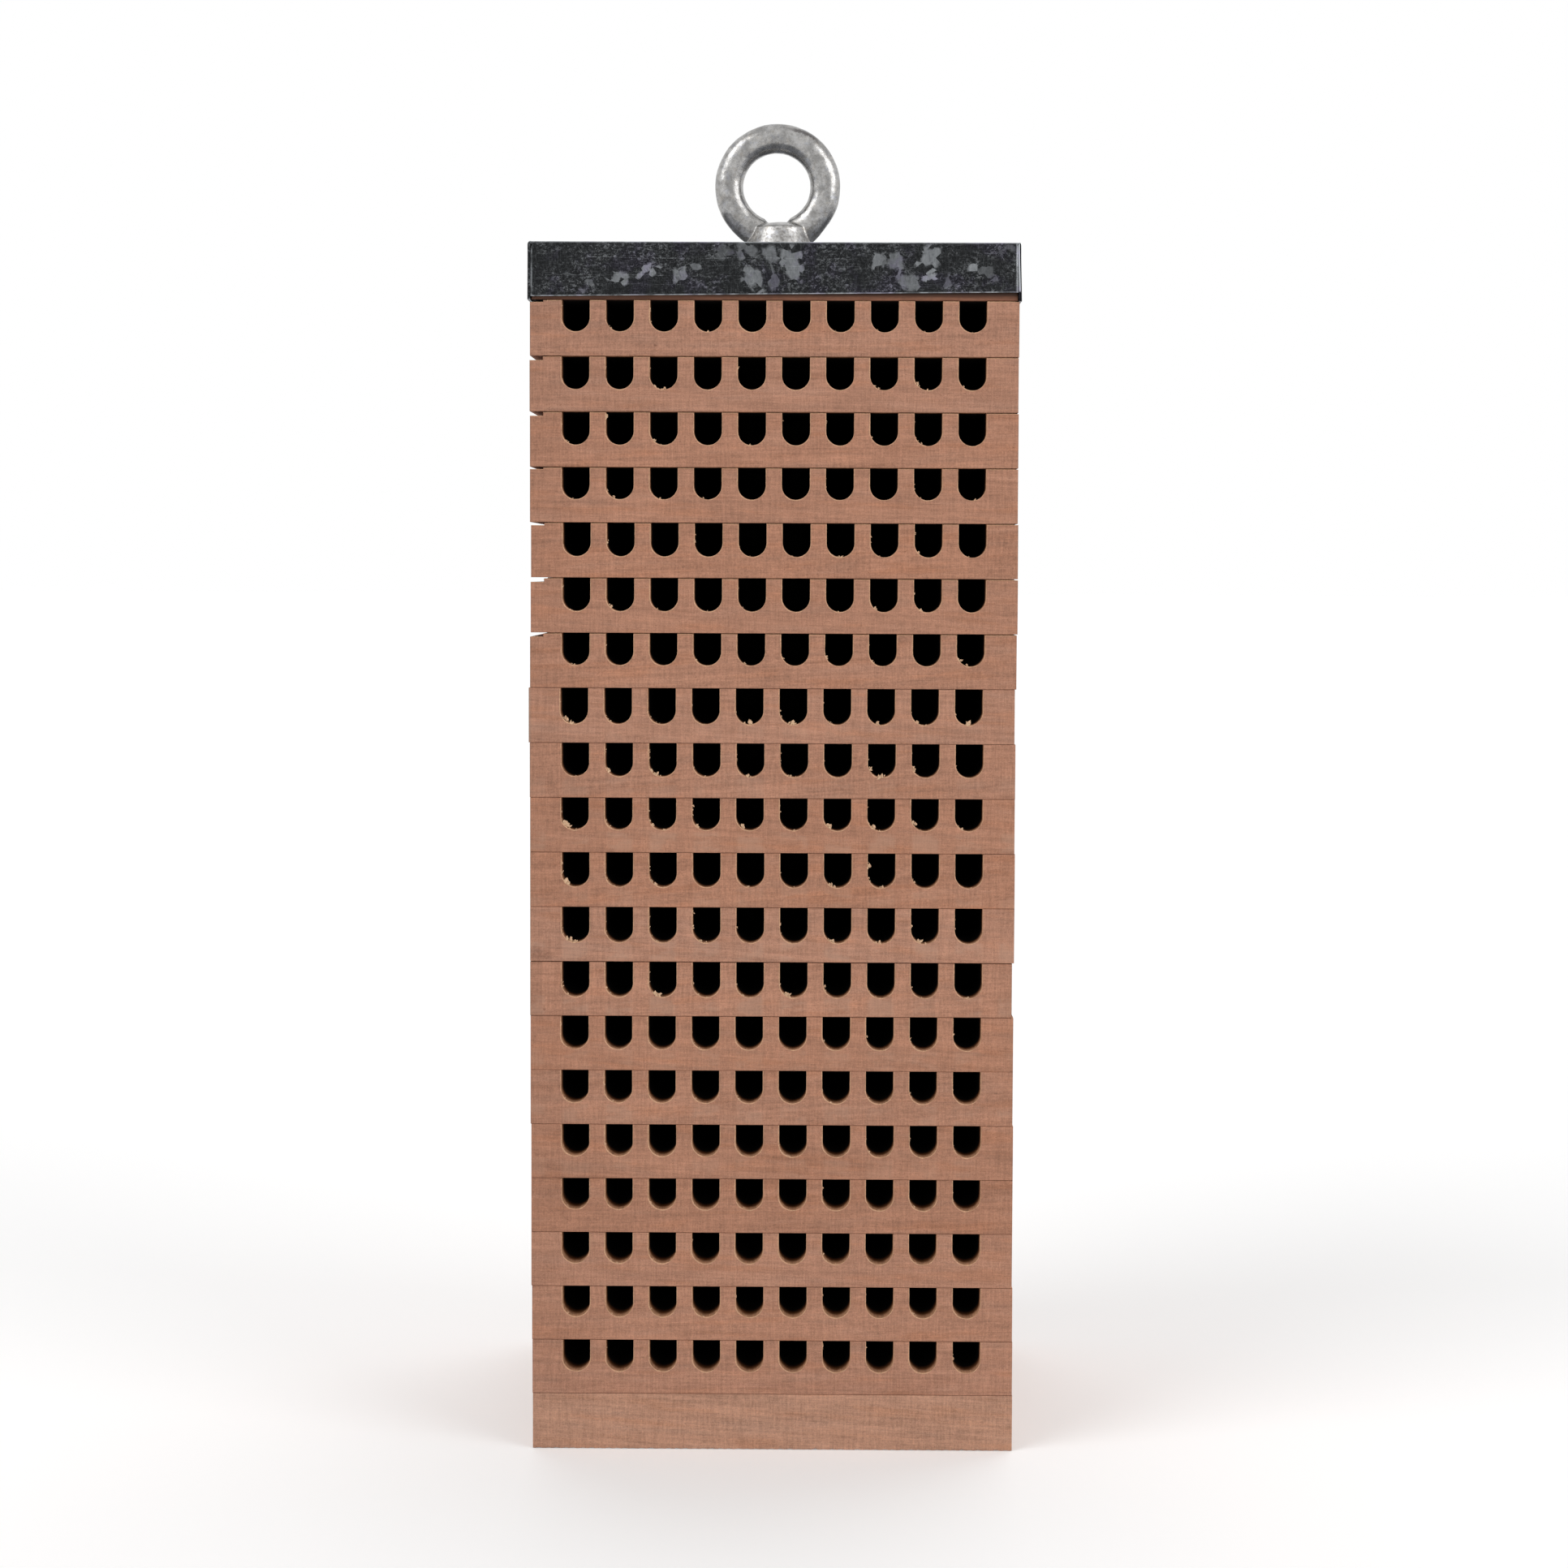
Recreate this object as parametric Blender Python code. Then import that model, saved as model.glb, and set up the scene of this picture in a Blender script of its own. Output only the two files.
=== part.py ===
"""Bee hotel: twenty grooved nesting trays between a base board and a cover board under a
folded zinc cap, all clamped by one threaded rod that ends in a forged eye nut.

Metres, +Z up. The front with the tunnel mouths faces -Y. The origin is in the middle of the
footprint, on the plane that the base board rests on.
"""
import bpy
import bmesh
from math import cos, pi, radians, sin, tan
from mathutils import Matrix, Vector

# Gap that stays between two faces that touch in the real stack
SEAT_GAP = 0.0003

# Boards, outside sizes
BOARD_WIDTH = 0.140
BOARD_DEPTH = 0.140
TRAY_COUNT = 20
TRAY_THICKNESS = 0.0155
BASE_THICKNESS = 0.0160
COVER_THICKNESS = 0.0155
COVER_SIDE_TRIM = 0.0006

# Tunnels: straight sided grooves with a half round bottom, stopped before the back
GROOVE_COUNT = 10
GROOVE_WIDTH = 0.008
GROOVE_FLOOR = 0.0061
FIRST_GROOVE_INSET = 0.0133
GROOVE_BACK_WALL = 0.010
GROOVE_ROD_WALL = 0.0065
GROOVE_ARC_STEPS = 6

# Trays are counted from the top. These were milled deeper, or shallower where negative
DEEPER_GROOVES_OF_TRAY = {
    1: -0.0002,
    4: -0.0004,
    7: -0.0004,
    8: 0.0007,
    10: -0.0004,
    11: 0.0003,
    12: 0.0006,
    13: 0.0006,
}

# The upper trays have a shallow rebate along their top left edge, front to back
REBATE_WIDTH = 0.0038
REBATE_DEPTH_OF_TRAY = {
    1: 0.0008,
    2: 0.0012,
    3: 0.0012,
    4: 0.0004,
    5: 0.0006,
    6: 0.0010,
    7: 0.0009,
}

# How far each tray has slipped sideways on the rod, to the right where positive
SIDE_SHIFT_OF_TRAY = {
    2: -0.0001,
    5: 0.0003,
    6: 0.0002,
    8: -0.0004,
    9: -0.0001,
    10: -0.0002,
    14: -0.0002,
    15: -0.0002,
    19: 0.0002,
    20: 0.0003,
}
BASE_SIDE_SHIFT = 0.0004

# Rod and the holes it passes through
ROD_DIAMETER = 0.008
ROD_CLEARANCE = 0.0008
ROD_FLOOR_CLEARANCE = 0.0010
ROD_STEPS = 12

# Washers and the nut sunk under the base board
WASHER_DIAMETER = 0.024
WASHER_THICKNESS = 0.0020
NUT_SIDES = 6
NUT_ACROSS_FLATS = 0.013
NUT_HEIGHT = 0.0065
NUT_CHAMFER_ANGLE = radians(30)
ROD_PAST_NUT = 0.0009
RECESS_CLEARANCE = 0.0010
THREAD_CLEARANCE = 0.0003
WASHER_STEPS = 32

# Folded cap
SHEET_THICKNESS = 0.0008
BEND_INNER_RADIUS = 0.0003
BEND_STEPS = 3
CORNER_SLIT = 0.0003
FRONT_LIP_RISE_LEFT = 0.0010
FRONT_LIP_RISE_RIGHT = 0.0021
BACK_LIP_RISE = 0.0012

# Forged eye nut
EYE_OUTER_RADIUS = 0.0192
EYE_HOLE_RADIUS = 0.0103
EYE_AXIAL_THICKNESS = 0.0084
EYE_RISE = 0.0016
COLLAR_RADIUS = 0.0102
COLLAR_EDGE_HEIGHT = 0.0014
COLLAR_TOP_RADIUS = 0.0064
COLLAR_HEIGHT = 0.0092
COLLAR_FLANK_STEPS = 5
NECK_WALL = 0.0014
ROD_END_BELOW_EYE = 0.0014
EYE_RING_STEPS = 44
EYE_SECTION_STEPS = 12
COLLAR_STEPS = 32

# Heights that follow from the stack, bottom to top
TRAY_PITCH = TRAY_THICKNESS + SEAT_GAP
COVER_BOTTOM = BASE_THICKNESS + SEAT_GAP + TRAY_COUNT * TRAY_PITCH
COVER_TOP = COVER_BOTTOM + COVER_THICKNESS
CAP_TOP = COVER_TOP + SEAT_GAP + SHEET_THICKNESS
TOP_WASHER_BOTTOM = CAP_TOP + SEAT_GAP
EYE_NUT_BOTTOM = TOP_WASHER_BOTTOM + WASHER_THICKNESS + SEAT_GAP
EYE_CENTRE_HEIGHT = EYE_RISE + EYE_OUTER_RADIUS
EYE_CENTRE_Z = EYE_NUT_BOTTOM + EYE_CENTRE_HEIGHT

# Widths that follow from the boards
COVER_WIDTH = BOARD_WIDTH - 2 * COVER_SIDE_TRIM
COVER_DEPTH = BOARD_DEPTH - 2 * COVER_SIDE_TRIM
ROD_HOLE_RADIUS = ROD_DIAMETER / 2 + ROD_CLEARANCE
THREAD_HOLE_RADIUS = ROD_DIAMETER / 2 + THREAD_CLEARANCE
RECESS_RADIUS = WASHER_DIAMETER / 2 + RECESS_CLEARANCE

# The sunk nut, from the rod's lower end up
NUT_BOTTOM = ROD_FLOOR_CLEARANCE + ROD_PAST_NUT
BASE_WASHER_BOTTOM = NUT_BOTTOM + NUT_HEIGHT + SEAT_GAP
RECESS_DEPTH = BASE_WASHER_BOTTOM + WASHER_THICKNESS + SEAT_GAP

# Cutters reach this far past the faces they open
OVERSHOOT = 0.002

# Vertices closer than this are one vertex, and edges sharper than this stay sharp
MERGE_DISTANCE = 0.000001
SHARP_ANGLE = radians(40)


def clear_scene():
    for scene_object in list(bpy.data.objects):
        bpy.data.objects.remove(scene_object, do_unlink=True)


def principled(name, colour, roughness, metallic):
    material = bpy.data.materials.new(name)
    material.use_nodes = True
    shader = material.node_tree.nodes["Principled BSDF"]
    shader.inputs["Base Color"].default_value = (*colour, 1.0)
    shader.inputs["Roughness"].default_value = roughness
    shader.inputs["Metallic"].default_value = metallic
    return material


def tray_wood():
    return principled("tray_wood", (0.377, 0.195, 0.128), 0.78, 0.0)


def board_wood():
    return principled("board_wood", (0.407, 0.224, 0.152), 0.78, 0.0)


def zinc_sheet():
    return principled("zinc_sheet", (0.090, 0.092, 0.100), 0.34, 1.0)


def forged_zinc():
    return principled("forged_zinc", (0.450, 0.440, 0.435), 0.38, 1.0)


def plated_steel():
    return principled("plated_steel", (0.550, 0.550, 0.540), 0.30, 1.0)


def mesh_object(name, mesh_builder, material, location=(0.0, 0.0, 0.0)):
    """Turn a filled bmesh into a linked object with one material."""
    bmesh.ops.recalc_face_normals(mesh_builder, faces=mesh_builder.faces)
    mesh = bpy.data.meshes.new(name)
    mesh_builder.to_mesh(mesh)
    mesh_builder.free()
    made = bpy.data.objects.new(name, mesh)
    made.location = location
    if material is not None:
        mesh.materials.append(material)
    bpy.context.scene.collection.objects.link(made)
    return made


def shade_round(made):
    made.data.shade_smooth()
    made.data.set_sharp_from_angle(angle=SHARP_ANGLE)


def combine(target, tool, operation):
    """Apply a Boolean of tool to target and remove the tool."""
    modifier = target.modifiers.new(operation.lower(), "BOOLEAN")
    modifier.operation = operation
    modifier.solver = "EXACT"
    modifier.object = tool
    evaluated = target.evaluated_get(bpy.context.evaluated_depsgraph_get())
    mesh = bpy.data.meshes.new_from_object(evaluated)
    target.modifiers.clear()
    old_mesh = target.data
    target.data = mesh
    bpy.data.meshes.remove(old_mesh)
    bpy.data.objects.remove(tool, do_unlink=True)


def add_box(mesh_builder, low, high):
    """Add an axis-aligned box between two corners."""
    size = Vector(high) - Vector(low)
    centre = (Vector(high) + Vector(low)) / 2
    placing = Matrix.Translation(centre) @ Matrix.Diagonal((*size, 1.0))
    bmesh.ops.create_cube(mesh_builder, size=1.0, matrix=placing)


def add_cylinder(mesh_builder, radius, low, high, steps):
    """Add an upright cylinder on the Z axis between two heights."""
    placing = Matrix.Translation((0.0, 0.0, (low + high) / 2))
    bmesh.ops.create_cone(mesh_builder, cap_ends=True, segments=steps, radius1=radius,
                          radius2=radius, depth=high - low, matrix=placing)


def add_prism(mesh_builder, outline, start, end):
    """Add a prism: a closed XZ outline swept along Y from start to end."""
    front = [mesh_builder.verts.new((x, start, z)) for x, z in outline]
    face = mesh_builder.faces.new(front)
    swept = bmesh.ops.extrude_face_region(mesh_builder, geom=[face])
    moved = [item for item in swept["geom"] if isinstance(item, bmesh.types.BMVert)]
    bmesh.ops.translate(mesh_builder, verts=moved, vec=(0.0, end - start, 0.0))


def turned(mesh_builder, profile, steps):
    """Turn an RZ profile, open at the axis or closed around a bore, about the Z axis."""
    start = [mesh_builder.verts.new((radius, 0.0, height)) for radius, height in profile]
    edges = [mesh_builder.edges.new(pair) for pair in zip(start, start[1:])]
    bmesh.ops.spin(mesh_builder, geom=start + edges, cent=(0, 0, 0), axis=(0, 0, 1),
                   angle=2 * pi, steps=steps, use_merge=False, use_duplicate=False)
    bmesh.ops.remove_doubles(mesh_builder, verts=mesh_builder.verts, dist=MERGE_DISTANCE)


def groove_centres():
    """X of each groove's centre line, spread evenly between the two outer ones."""
    first = -BOARD_WIDTH / 2 + FIRST_GROOVE_INSET
    pitch = -2 * first / (GROOVE_COUNT - 1)
    return [first + index * pitch for index in range(GROOVE_COUNT)]


def groove_end(centre):
    """Y at which a groove stops: short of the rod hole in the middle, else near the back."""
    rod_in_the_way = abs(centre) - GROOVE_WIDTH / 2 < ROD_HOLE_RADIUS + GROOVE_ROD_WALL
    if rod_in_the_way:
        return -ROD_HOLE_RADIUS - GROOVE_ROD_WALL
    return BOARD_DEPTH / 2 - GROOVE_BACK_WALL


def groove_outline(centre, depth):
    """XZ outline of a groove cutter, from above the tray's top face down round its bottom."""
    radius = GROOVE_WIDTH / 2
    arc_centre = TRAY_THICKNESS - depth + radius
    above = TRAY_THICKNESS + OVERSHOOT
    outline = [(centre + radius, above), (centre - radius, above)]
    for step in range(GROOVE_ARC_STEPS + 1):
        angle = pi + pi * step / GROOVE_ARC_STEPS
        outline.append((centre + radius * cos(angle), arc_centre + radius * sin(angle)))
    return outline


def tray_cutter(number):
    """Everything that is milled and drilled out of one tray."""
    cutter = bmesh.new()
    depth = TRAY_THICKNESS - GROOVE_FLOOR + DEEPER_GROOVES_OF_TRAY.get(number, 0.0)
    front = -BOARD_DEPTH / 2 - OVERSHOOT
    for centre in groove_centres():
        add_prism(cutter, groove_outline(centre, depth), front, groove_end(centre))
    add_cylinder(cutter, ROD_HOLE_RADIUS, -OVERSHOOT, TRAY_THICKNESS + OVERSHOOT, ROD_STEPS)
    rebate = REBATE_DEPTH_OF_TRAY.get(number)
    if rebate is not None:
        left = -BOARD_WIDTH / 2
        low = (left - OVERSHOOT, front, TRAY_THICKNESS - rebate)
        high = (left + REBATE_WIDTH, -front, TRAY_THICKNESS + OVERSHOOT)
        add_box(cutter, low, high)
    return mesh_object("tray_cutter", cutter, None)


def board(name, width, depth, thickness, material):
    """A plain rectangular board, its underside at its own Z zero."""
    blank = bmesh.new()
    add_box(blank, (-width / 2, -depth / 2, 0.0), (width / 2, depth / 2, thickness))
    return mesh_object(name, blank, material)


def tray_bottom(number):
    """Height of a tray's underside. Tray 1 is the top one."""
    return BASE_THICKNESS + SEAT_GAP + (TRAY_COUNT - number) * TRAY_PITCH


def make_tray(number, material):
    tray = board(f"tray_{number:02d}", BOARD_WIDTH, BOARD_DEPTH, TRAY_THICKNESS, material)
    combine(tray, tray_cutter(number), "DIFFERENCE")
    tray.location = (SIDE_SHIFT_OF_TRAY.get(number, 0.0), 0.0, tray_bottom(number))
    return tray


def drill(target, radius, low, high, steps):
    """Drill an upright hole on the Z axis between two heights."""
    cutter = bmesh.new()
    add_cylinder(cutter, radius, low, high, steps)
    combine(target, mesh_object("drill", cutter, None), "DIFFERENCE")


def make_base_board(material):
    """The base board, drilled for the rod and counterbored from below for nut and washer."""
    base = board("base_board", BOARD_WIDTH, BOARD_DEPTH, BASE_THICKNESS, material)
    drill(base, ROD_HOLE_RADIUS, -OVERSHOOT, BASE_THICKNESS + OVERSHOOT, ROD_STEPS)
    drill(base, RECESS_RADIUS, -OVERSHOOT, RECESS_DEPTH, WASHER_STEPS)
    base.location = (BASE_SIDE_SHIFT, 0.0, 0.0)
    return base


def make_cover_board(material):
    """The plain board that fills the cap."""
    cover = board("cover_board", COVER_WIDTH, COVER_DEPTH, COVER_THICKNESS, material)
    drill(cover, ROD_HOLE_RADIUS, -OVERSHOOT, COVER_THICKNESS + OVERSHOOT, ROD_STEPS)
    cover.location = (0.0, 0.0, COVER_BOTTOM)
    return cover


def bend_points(plate_half, mid_radius, top, bottom):
    """(outward, height) pairs of the sheet's middle from the plate's edge down a flange."""
    points = []
    for step in range(BEND_STEPS + 1):
        angle = pi / 2 * step / BEND_STEPS
        outward = plate_half + mid_radius * sin(angle)
        points.append((outward, top - mid_radius * (1 - cos(angle))))
    points.append((plate_half + mid_radius, bottom))
    return points


def add_flange(mesh_builder, place, near_points, far_points):
    """A strip of quads between the two ends of a flange. place(outward, side, z) gives XYZ."""
    near = [mesh_builder.verts.new(place(*point)) for point in near_points]
    far = [mesh_builder.verts.new(place(*point)) for point in far_points]
    for index in range(len(near) - 1):
        mesh_builder.faces.new((near[index], far[index], far[index + 1], near[index + 1]))


def cap_middle_surface():
    """Middle surface of the folded sheet: a top plate and four flanges, corners left open."""
    half_sheet = SHEET_THICKNESS / 2
    half_width = COVER_WIDTH / 2 + SEAT_GAP + half_sheet
    half_depth = COVER_DEPTH / 2 + SEAT_GAP + half_sheet
    mid_radius = BEND_INNER_RADIUS + half_sheet
    plate_x = half_width - mid_radius
    plate_y = half_depth - mid_radius
    top = CAP_TOP - half_sheet
    slit_x = plate_x - CORNER_SLIT
    sheet = bmesh.new()

    # Top plate, split where the front and back flanges begin
    columns = (-plate_x, -slit_x, slit_x, plate_x)
    for left, right in zip(columns, columns[1:]):
        corners = ((left, -plate_y), (right, -plate_y), (right, plate_y), (left, plate_y))
        sheet.faces.new([sheet.verts.new((x, y, top)) for x, y in corners])

    # Side flanges run past the plate to the outer faces of the front and back flanges
    stations = (-half_depth - half_sheet, -plate_y, plate_y, half_depth + half_sheet)
    side_profile = bend_points(plate_x, mid_radius, top, COVER_BOTTOM)
    for side in (-1, 1):
        for start, end in zip(stations, stations[1:]):
            near = [(outward, start, z) for outward, z in side_profile]
            far = [(outward, end, z) for outward, z in side_profile]
            add_flange(sheet, lambda out, y, z, s=side: (s * out, y, z), near, far)

    # Front flange, its lip rising to the right, and the level back flange
    lips = (
        (-1, FRONT_LIP_RISE_LEFT, FRONT_LIP_RISE_RIGHT),
        (1, BACK_LIP_RISE, BACK_LIP_RISE),
    )
    for side, left_rise, right_rise in lips:
        left_profile = bend_points(plate_y, mid_radius, top, COVER_BOTTOM + left_rise)
        right_profile = bend_points(plate_y, mid_radius, top, COVER_BOTTOM + right_rise)
        near = [(outward, -slit_x, z) for outward, z in left_profile]
        far = [(outward, slit_x, z) for outward, z in right_profile]
        add_flange(sheet, lambda out, x, z, s=side: (x, s * out, z), near, far)
    bmesh.ops.remove_doubles(sheet, verts=sheet.verts, dist=MERGE_DISTANCE)
    return sheet


def make_cap(material):
    cap = mesh_object("cap", cap_middle_surface(), material)
    thicken = cap.modifiers.new("sheet", "SOLIDIFY")
    thicken.thickness = SHEET_THICKNESS
    thicken.offset = 0.0
    thicken.use_even_offset = True
    drill(cap, ROD_HOLE_RADIUS, COVER_TOP, CAP_TOP + OVERSHOOT, ROD_STEPS)
    shade_round(cap)
    return cap


def make_rod(material):
    rod_bottom = ROD_FLOOR_CLEARANCE
    rod_top = EYE_CENTRE_Z - EYE_HOLE_RADIUS - ROD_END_BELOW_EYE
    bar = bmesh.new()
    add_cylinder(bar, ROD_DIAMETER / 2, rod_bottom, rod_top, ROD_STEPS)
    rod = mesh_object("threaded_rod", bar, material)
    shade_round(rod)
    return rod


def make_washer(name, bottom, material):
    ring = bmesh.new()
    inner = THREAD_HOLE_RADIUS
    outer = WASHER_DIAMETER / 2
    profile = (
        (outer, WASHER_THICKNESS),
        (outer, 0.0),
        (inner, 0.0),
        (inner, WASHER_THICKNESS),
        (outer, WASHER_THICKNESS),
    )
    turned(ring, profile, WASHER_STEPS)
    washer = mesh_object(name, ring, material, (0.0, 0.0, bottom))
    shade_round(washer)
    return washer


def make_base_nut(material):
    """Hexagon nut with its corners chamfered on both faces."""
    face_radius = NUT_ACROSS_FLATS / 2
    corner_radius = face_radius / cos(pi / NUT_SIDES)
    chamfer = (corner_radius - face_radius) * tan(NUT_CHAMFER_ANGLE)
    profile = (
        (0.0, NUT_HEIGHT),
        (face_radius, NUT_HEIGHT),
        (corner_radius, NUT_HEIGHT - chamfer),
        (corner_radius, chamfer),
        (face_radius, 0.0),
        (0.0, 0.0),
    )
    body = bmesh.new()
    turned(body, profile, WASHER_STEPS)
    nut = mesh_object("base_nut", body, material)
    hexagon = bmesh.new()
    add_cylinder(hexagon, corner_radius, -OVERSHOOT, NUT_HEIGHT + OVERSHOOT, NUT_SIDES)
    combine(nut, mesh_object("hexagon", hexagon, None), "INTERSECT")
    drill(nut, THREAD_HOLE_RADIUS, -OVERSHOOT, NUT_HEIGHT + OVERSHOOT, ROD_STEPS)
    nut.location = (0.0, 0.0, NUT_BOTTOM)
    shade_round(nut)
    return nut


def eye_ring():
    """The eye: an oval section swept round the eye's axis, which lies along Y."""
    ring_radius = (EYE_OUTER_RADIUS + EYE_HOLE_RADIUS) / 2
    half_radial = (EYE_OUTER_RADIUS - EYE_HOLE_RADIUS) / 2
    half_axial = EYE_AXIAL_THICKNESS / 2
    ring = bmesh.new()
    section = []
    for step in range(EYE_SECTION_STEPS):
        angle = 2 * pi * step / EYE_SECTION_STEPS
        x = ring_radius + half_radial * cos(angle)
        section.append(ring.verts.new((x, half_axial * sin(angle), 0.0)))
    edges = [ring.edges.new((vert, section[index - 1])) for index, vert in enumerate(section)]
    bmesh.ops.spin(ring, geom=section + edges, cent=(0, 0, 0), axis=(0, 1, 0),
                   angle=2 * pi, steps=EYE_RING_STEPS, use_merge=False, use_duplicate=False)
    bmesh.ops.remove_doubles(ring, verts=ring.verts, dist=MERGE_DISTANCE)
    return ring


def collar_profile():
    """RZ profile of the forged collar: a short edge, a hollow flank and a neck round the bore."""
    flank_width = COLLAR_RADIUS - COLLAR_TOP_RADIUS
    flank_height = COLLAR_HEIGHT - COLLAR_EDGE_HEIGHT
    neck_top = EYE_CENTRE_HEIGHT - EYE_HOLE_RADIUS
    profile = [(0.0, neck_top), (THREAD_HOLE_RADIUS + NECK_WALL, neck_top)]
    for step in range(COLLAR_FLANK_STEPS + 1):
        angle = pi / 2 * step / COLLAR_FLANK_STEPS
        radius = COLLAR_RADIUS - flank_width * cos(angle)
        profile.append((radius, COLLAR_HEIGHT - flank_height * sin(angle)))
    profile.append((COLLAR_RADIUS, 0.0))
    profile.append((0.0, 0.0))
    return profile


def make_eye_nut(material):
    """Forged in one piece: eye and collar, drilled through from below into the eye."""
    eye_nut = mesh_object("eye_nut", eye_ring(), material, (0.0, 0.0, EYE_CENTRE_Z))
    collar = bmesh.new()
    turned(collar, collar_profile(), COLLAR_STEPS)
    combine(eye_nut, mesh_object("collar", collar, None, (0.0, 0.0, EYE_NUT_BOTTOM)), "UNION")
    drill(eye_nut, THREAD_HOLE_RADIUS, EYE_NUT_BOTTOM - OVERSHOOT, EYE_CENTRE_Z, ROD_STEPS)
    shade_round(eye_nut)
    return eye_nut


def build():
    clear_scene()
    wood = tray_wood()
    plain_wood = board_wood()
    steel = plated_steel()
    make_base_board(plain_wood)
    for number in range(1, TRAY_COUNT + 1):
        make_tray(number, wood)
    make_cover_board(plain_wood)
    make_cap(zinc_sheet())
    make_rod(steel)
    make_washer("base_washer", BASE_WASHER_BOTTOM, steel)
    make_base_nut(steel)
    make_washer("top_washer", TOP_WASHER_BOTTOM, steel)
    make_eye_nut(forged_zinc())


build()
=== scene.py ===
import random
from math import ceil, cos, pi, radians, sin, tan

import bmesh
import bpy
from mathutils import Matrix, Vector, noise


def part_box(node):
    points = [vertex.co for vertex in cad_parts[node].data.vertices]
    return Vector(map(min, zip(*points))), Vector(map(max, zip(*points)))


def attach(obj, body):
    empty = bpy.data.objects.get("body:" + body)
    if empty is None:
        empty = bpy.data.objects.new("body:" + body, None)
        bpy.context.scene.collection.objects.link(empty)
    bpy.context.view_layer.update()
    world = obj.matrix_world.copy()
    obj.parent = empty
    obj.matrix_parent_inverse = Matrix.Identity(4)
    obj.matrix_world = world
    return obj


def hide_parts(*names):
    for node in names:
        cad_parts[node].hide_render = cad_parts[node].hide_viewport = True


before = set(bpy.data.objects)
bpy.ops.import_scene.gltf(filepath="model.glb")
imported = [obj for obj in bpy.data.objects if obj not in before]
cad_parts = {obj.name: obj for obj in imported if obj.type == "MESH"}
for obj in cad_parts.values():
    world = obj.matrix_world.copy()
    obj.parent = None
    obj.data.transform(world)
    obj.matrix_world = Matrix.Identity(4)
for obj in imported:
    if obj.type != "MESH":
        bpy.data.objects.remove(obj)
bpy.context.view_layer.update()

MM = 0.001
TRAY_COUNT = 20
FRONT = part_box("tray_20")[0].y

# Materials of a tray, by the index of its faces
FACE, RIM, TUNNEL, CHIP = range(4)

# Grooves of the trays. DEEPER_GROOVES is how far a tray's own floor lies below GROOVE_FLOOR
GROOVE_COUNT = 10
GROOVE_PITCH = 0.0126
GROOVE_RADIUS = 0.004
GROOVE_FLOOR = 0.0061
GROOVE_SIDE_STEPS = 8
GROOVE_ARC_STEPS = 30
GROOVE_END = 0.06
MIDDLE_GROOVE_END = -0.0113
TRAY_THICKNESS = 0.0155
DEEPER_GROOVES = {
    1: -0.0008, 2: -0.0002, 3: -0.0002, 4: -0.0005, 6: -0.0001, 7: -0.0004, 8: 0.0007,
    10: -0.0004, 11: 0.0003, 12: 0.0006, 13: 0.0006,
    15: -0.0002, 16: -0.0004, 17: -0.0006, 18: -0.0006, 19: -0.0007, 20: -0.0004,
}
TORN_RIM = 0.00015
REBATE_WIDTH = 0.0038
REBATE_DEPTH = {1: 0.0003, 2: 0.001, 3: 0.001, 4: 0.0004, 5: 0.0006, 6: 0.001, 7: 0.0009}
ROD_RADIUS = 0.004
ROD_HOLE_RADIUS = 0.0048

# Edges and joints of the boards. The solids lie SEAT_GAP apart. Here each board reaches up to the
# next one behind its edges, where a fine joint stays open
EDGE = 0.00014
EDGE_SHAKE = 0.00005
SEAT_GAP = 0.0003
SEAM_DEPTH = 0.0009
SEAM_SLOPE = 0.0002
CONTACT_GAP = 0.00003
OPEN_JOINT = SEAT_GAP
CLOSED_JOINT = 0.00009
JOINT_ABOVE = {13: 0.00022, 14: 0.00012, 15: 0.00004}
UPPER_TRAYS = 7
COVER_LIFT = 0.00018

# How much narrower the real boards are at the left and the right
TRIM = (0.0002, 0.00015)
LOWER_TRIM = (0.0005, 0.0)
FIRST_LOWER_TRAY = 14
TRAY_TRIM = {5: (0.0002, 0.0003), 10: (0.0004, 0.0001), 13: (0.0002, 0.0007)}
BASE_TRIM = 0.0005

# The saw has left the base's lower front edge wavy: height, depth and one radian of the waves
SAW_WAVE_HEIGHT = 0.00025
SAW_WAVE_DEPTH = 0.0015
SAW_WAVE_RADIAN = 0.0004
BASE_COLUMNS = 200

# Colours, linear. In a tunnel the wood goes from painted light near the mouth through painted shade to
# painted black further back
TRAY_COLOUR = (0.393, 0.195, 0.125)
BASE_COLOUR = (0.445, 0.243, 0.162)
# The cover's colour is darker than the trays', partly as painted shade under the cap's lip
COVER_COLOUR = (0.22, 0.098, 0.06)
RIM_COLOUR = (0.56, 0.33, 0.2)
CHIP_COLOUR = (0.62, 0.41, 0.26)
# Painted light, painted shade and painted shadow inside the tunnels
TUNNEL_PAINTED_LIGHT_COLOUR = (0.52, 0.29, 0.165)
TUNNEL_PAINTED_SHADE_COLOUR = (0.26, 0.1, 0.028)
TUNNEL_PAINTED_SHADOW_COLOUR = (0.003, 0.0019, 0.0014)

# How far back the tunnels keep their painted light before painted shade darkens them, in millimetres
PAINTED_LIGHT_LENGTH = {14: 2.2, 15: 2.4, 16: 2.8, 17: 3.0, 18: 2.9, 19: 3.2, 20: 2.6}
UPPER_PAINTED_LIGHT_LENGTH = 1.8

# Trays that are paler or darker than the rest, and redder (above 0) or greyer (below 0)
TRAY_SHADE = {1: 0.99, 8: 1.03, 12: 1.04, 16: 0.97, 17: 0.96, 18: 1.04, 19: 1.03, 20: 1.03}
TRAY_WARMTH = {
    1: -1.0, 2: -0.6, 3: 0.5, 5: 0.8, 8: -0.9, 10: 0.8, 11: 0.9,
    12: -1.0, 14: 0.8, 16: 0.5, 17: 0.8, 18: -0.5, 20: -0.6,
}

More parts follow.
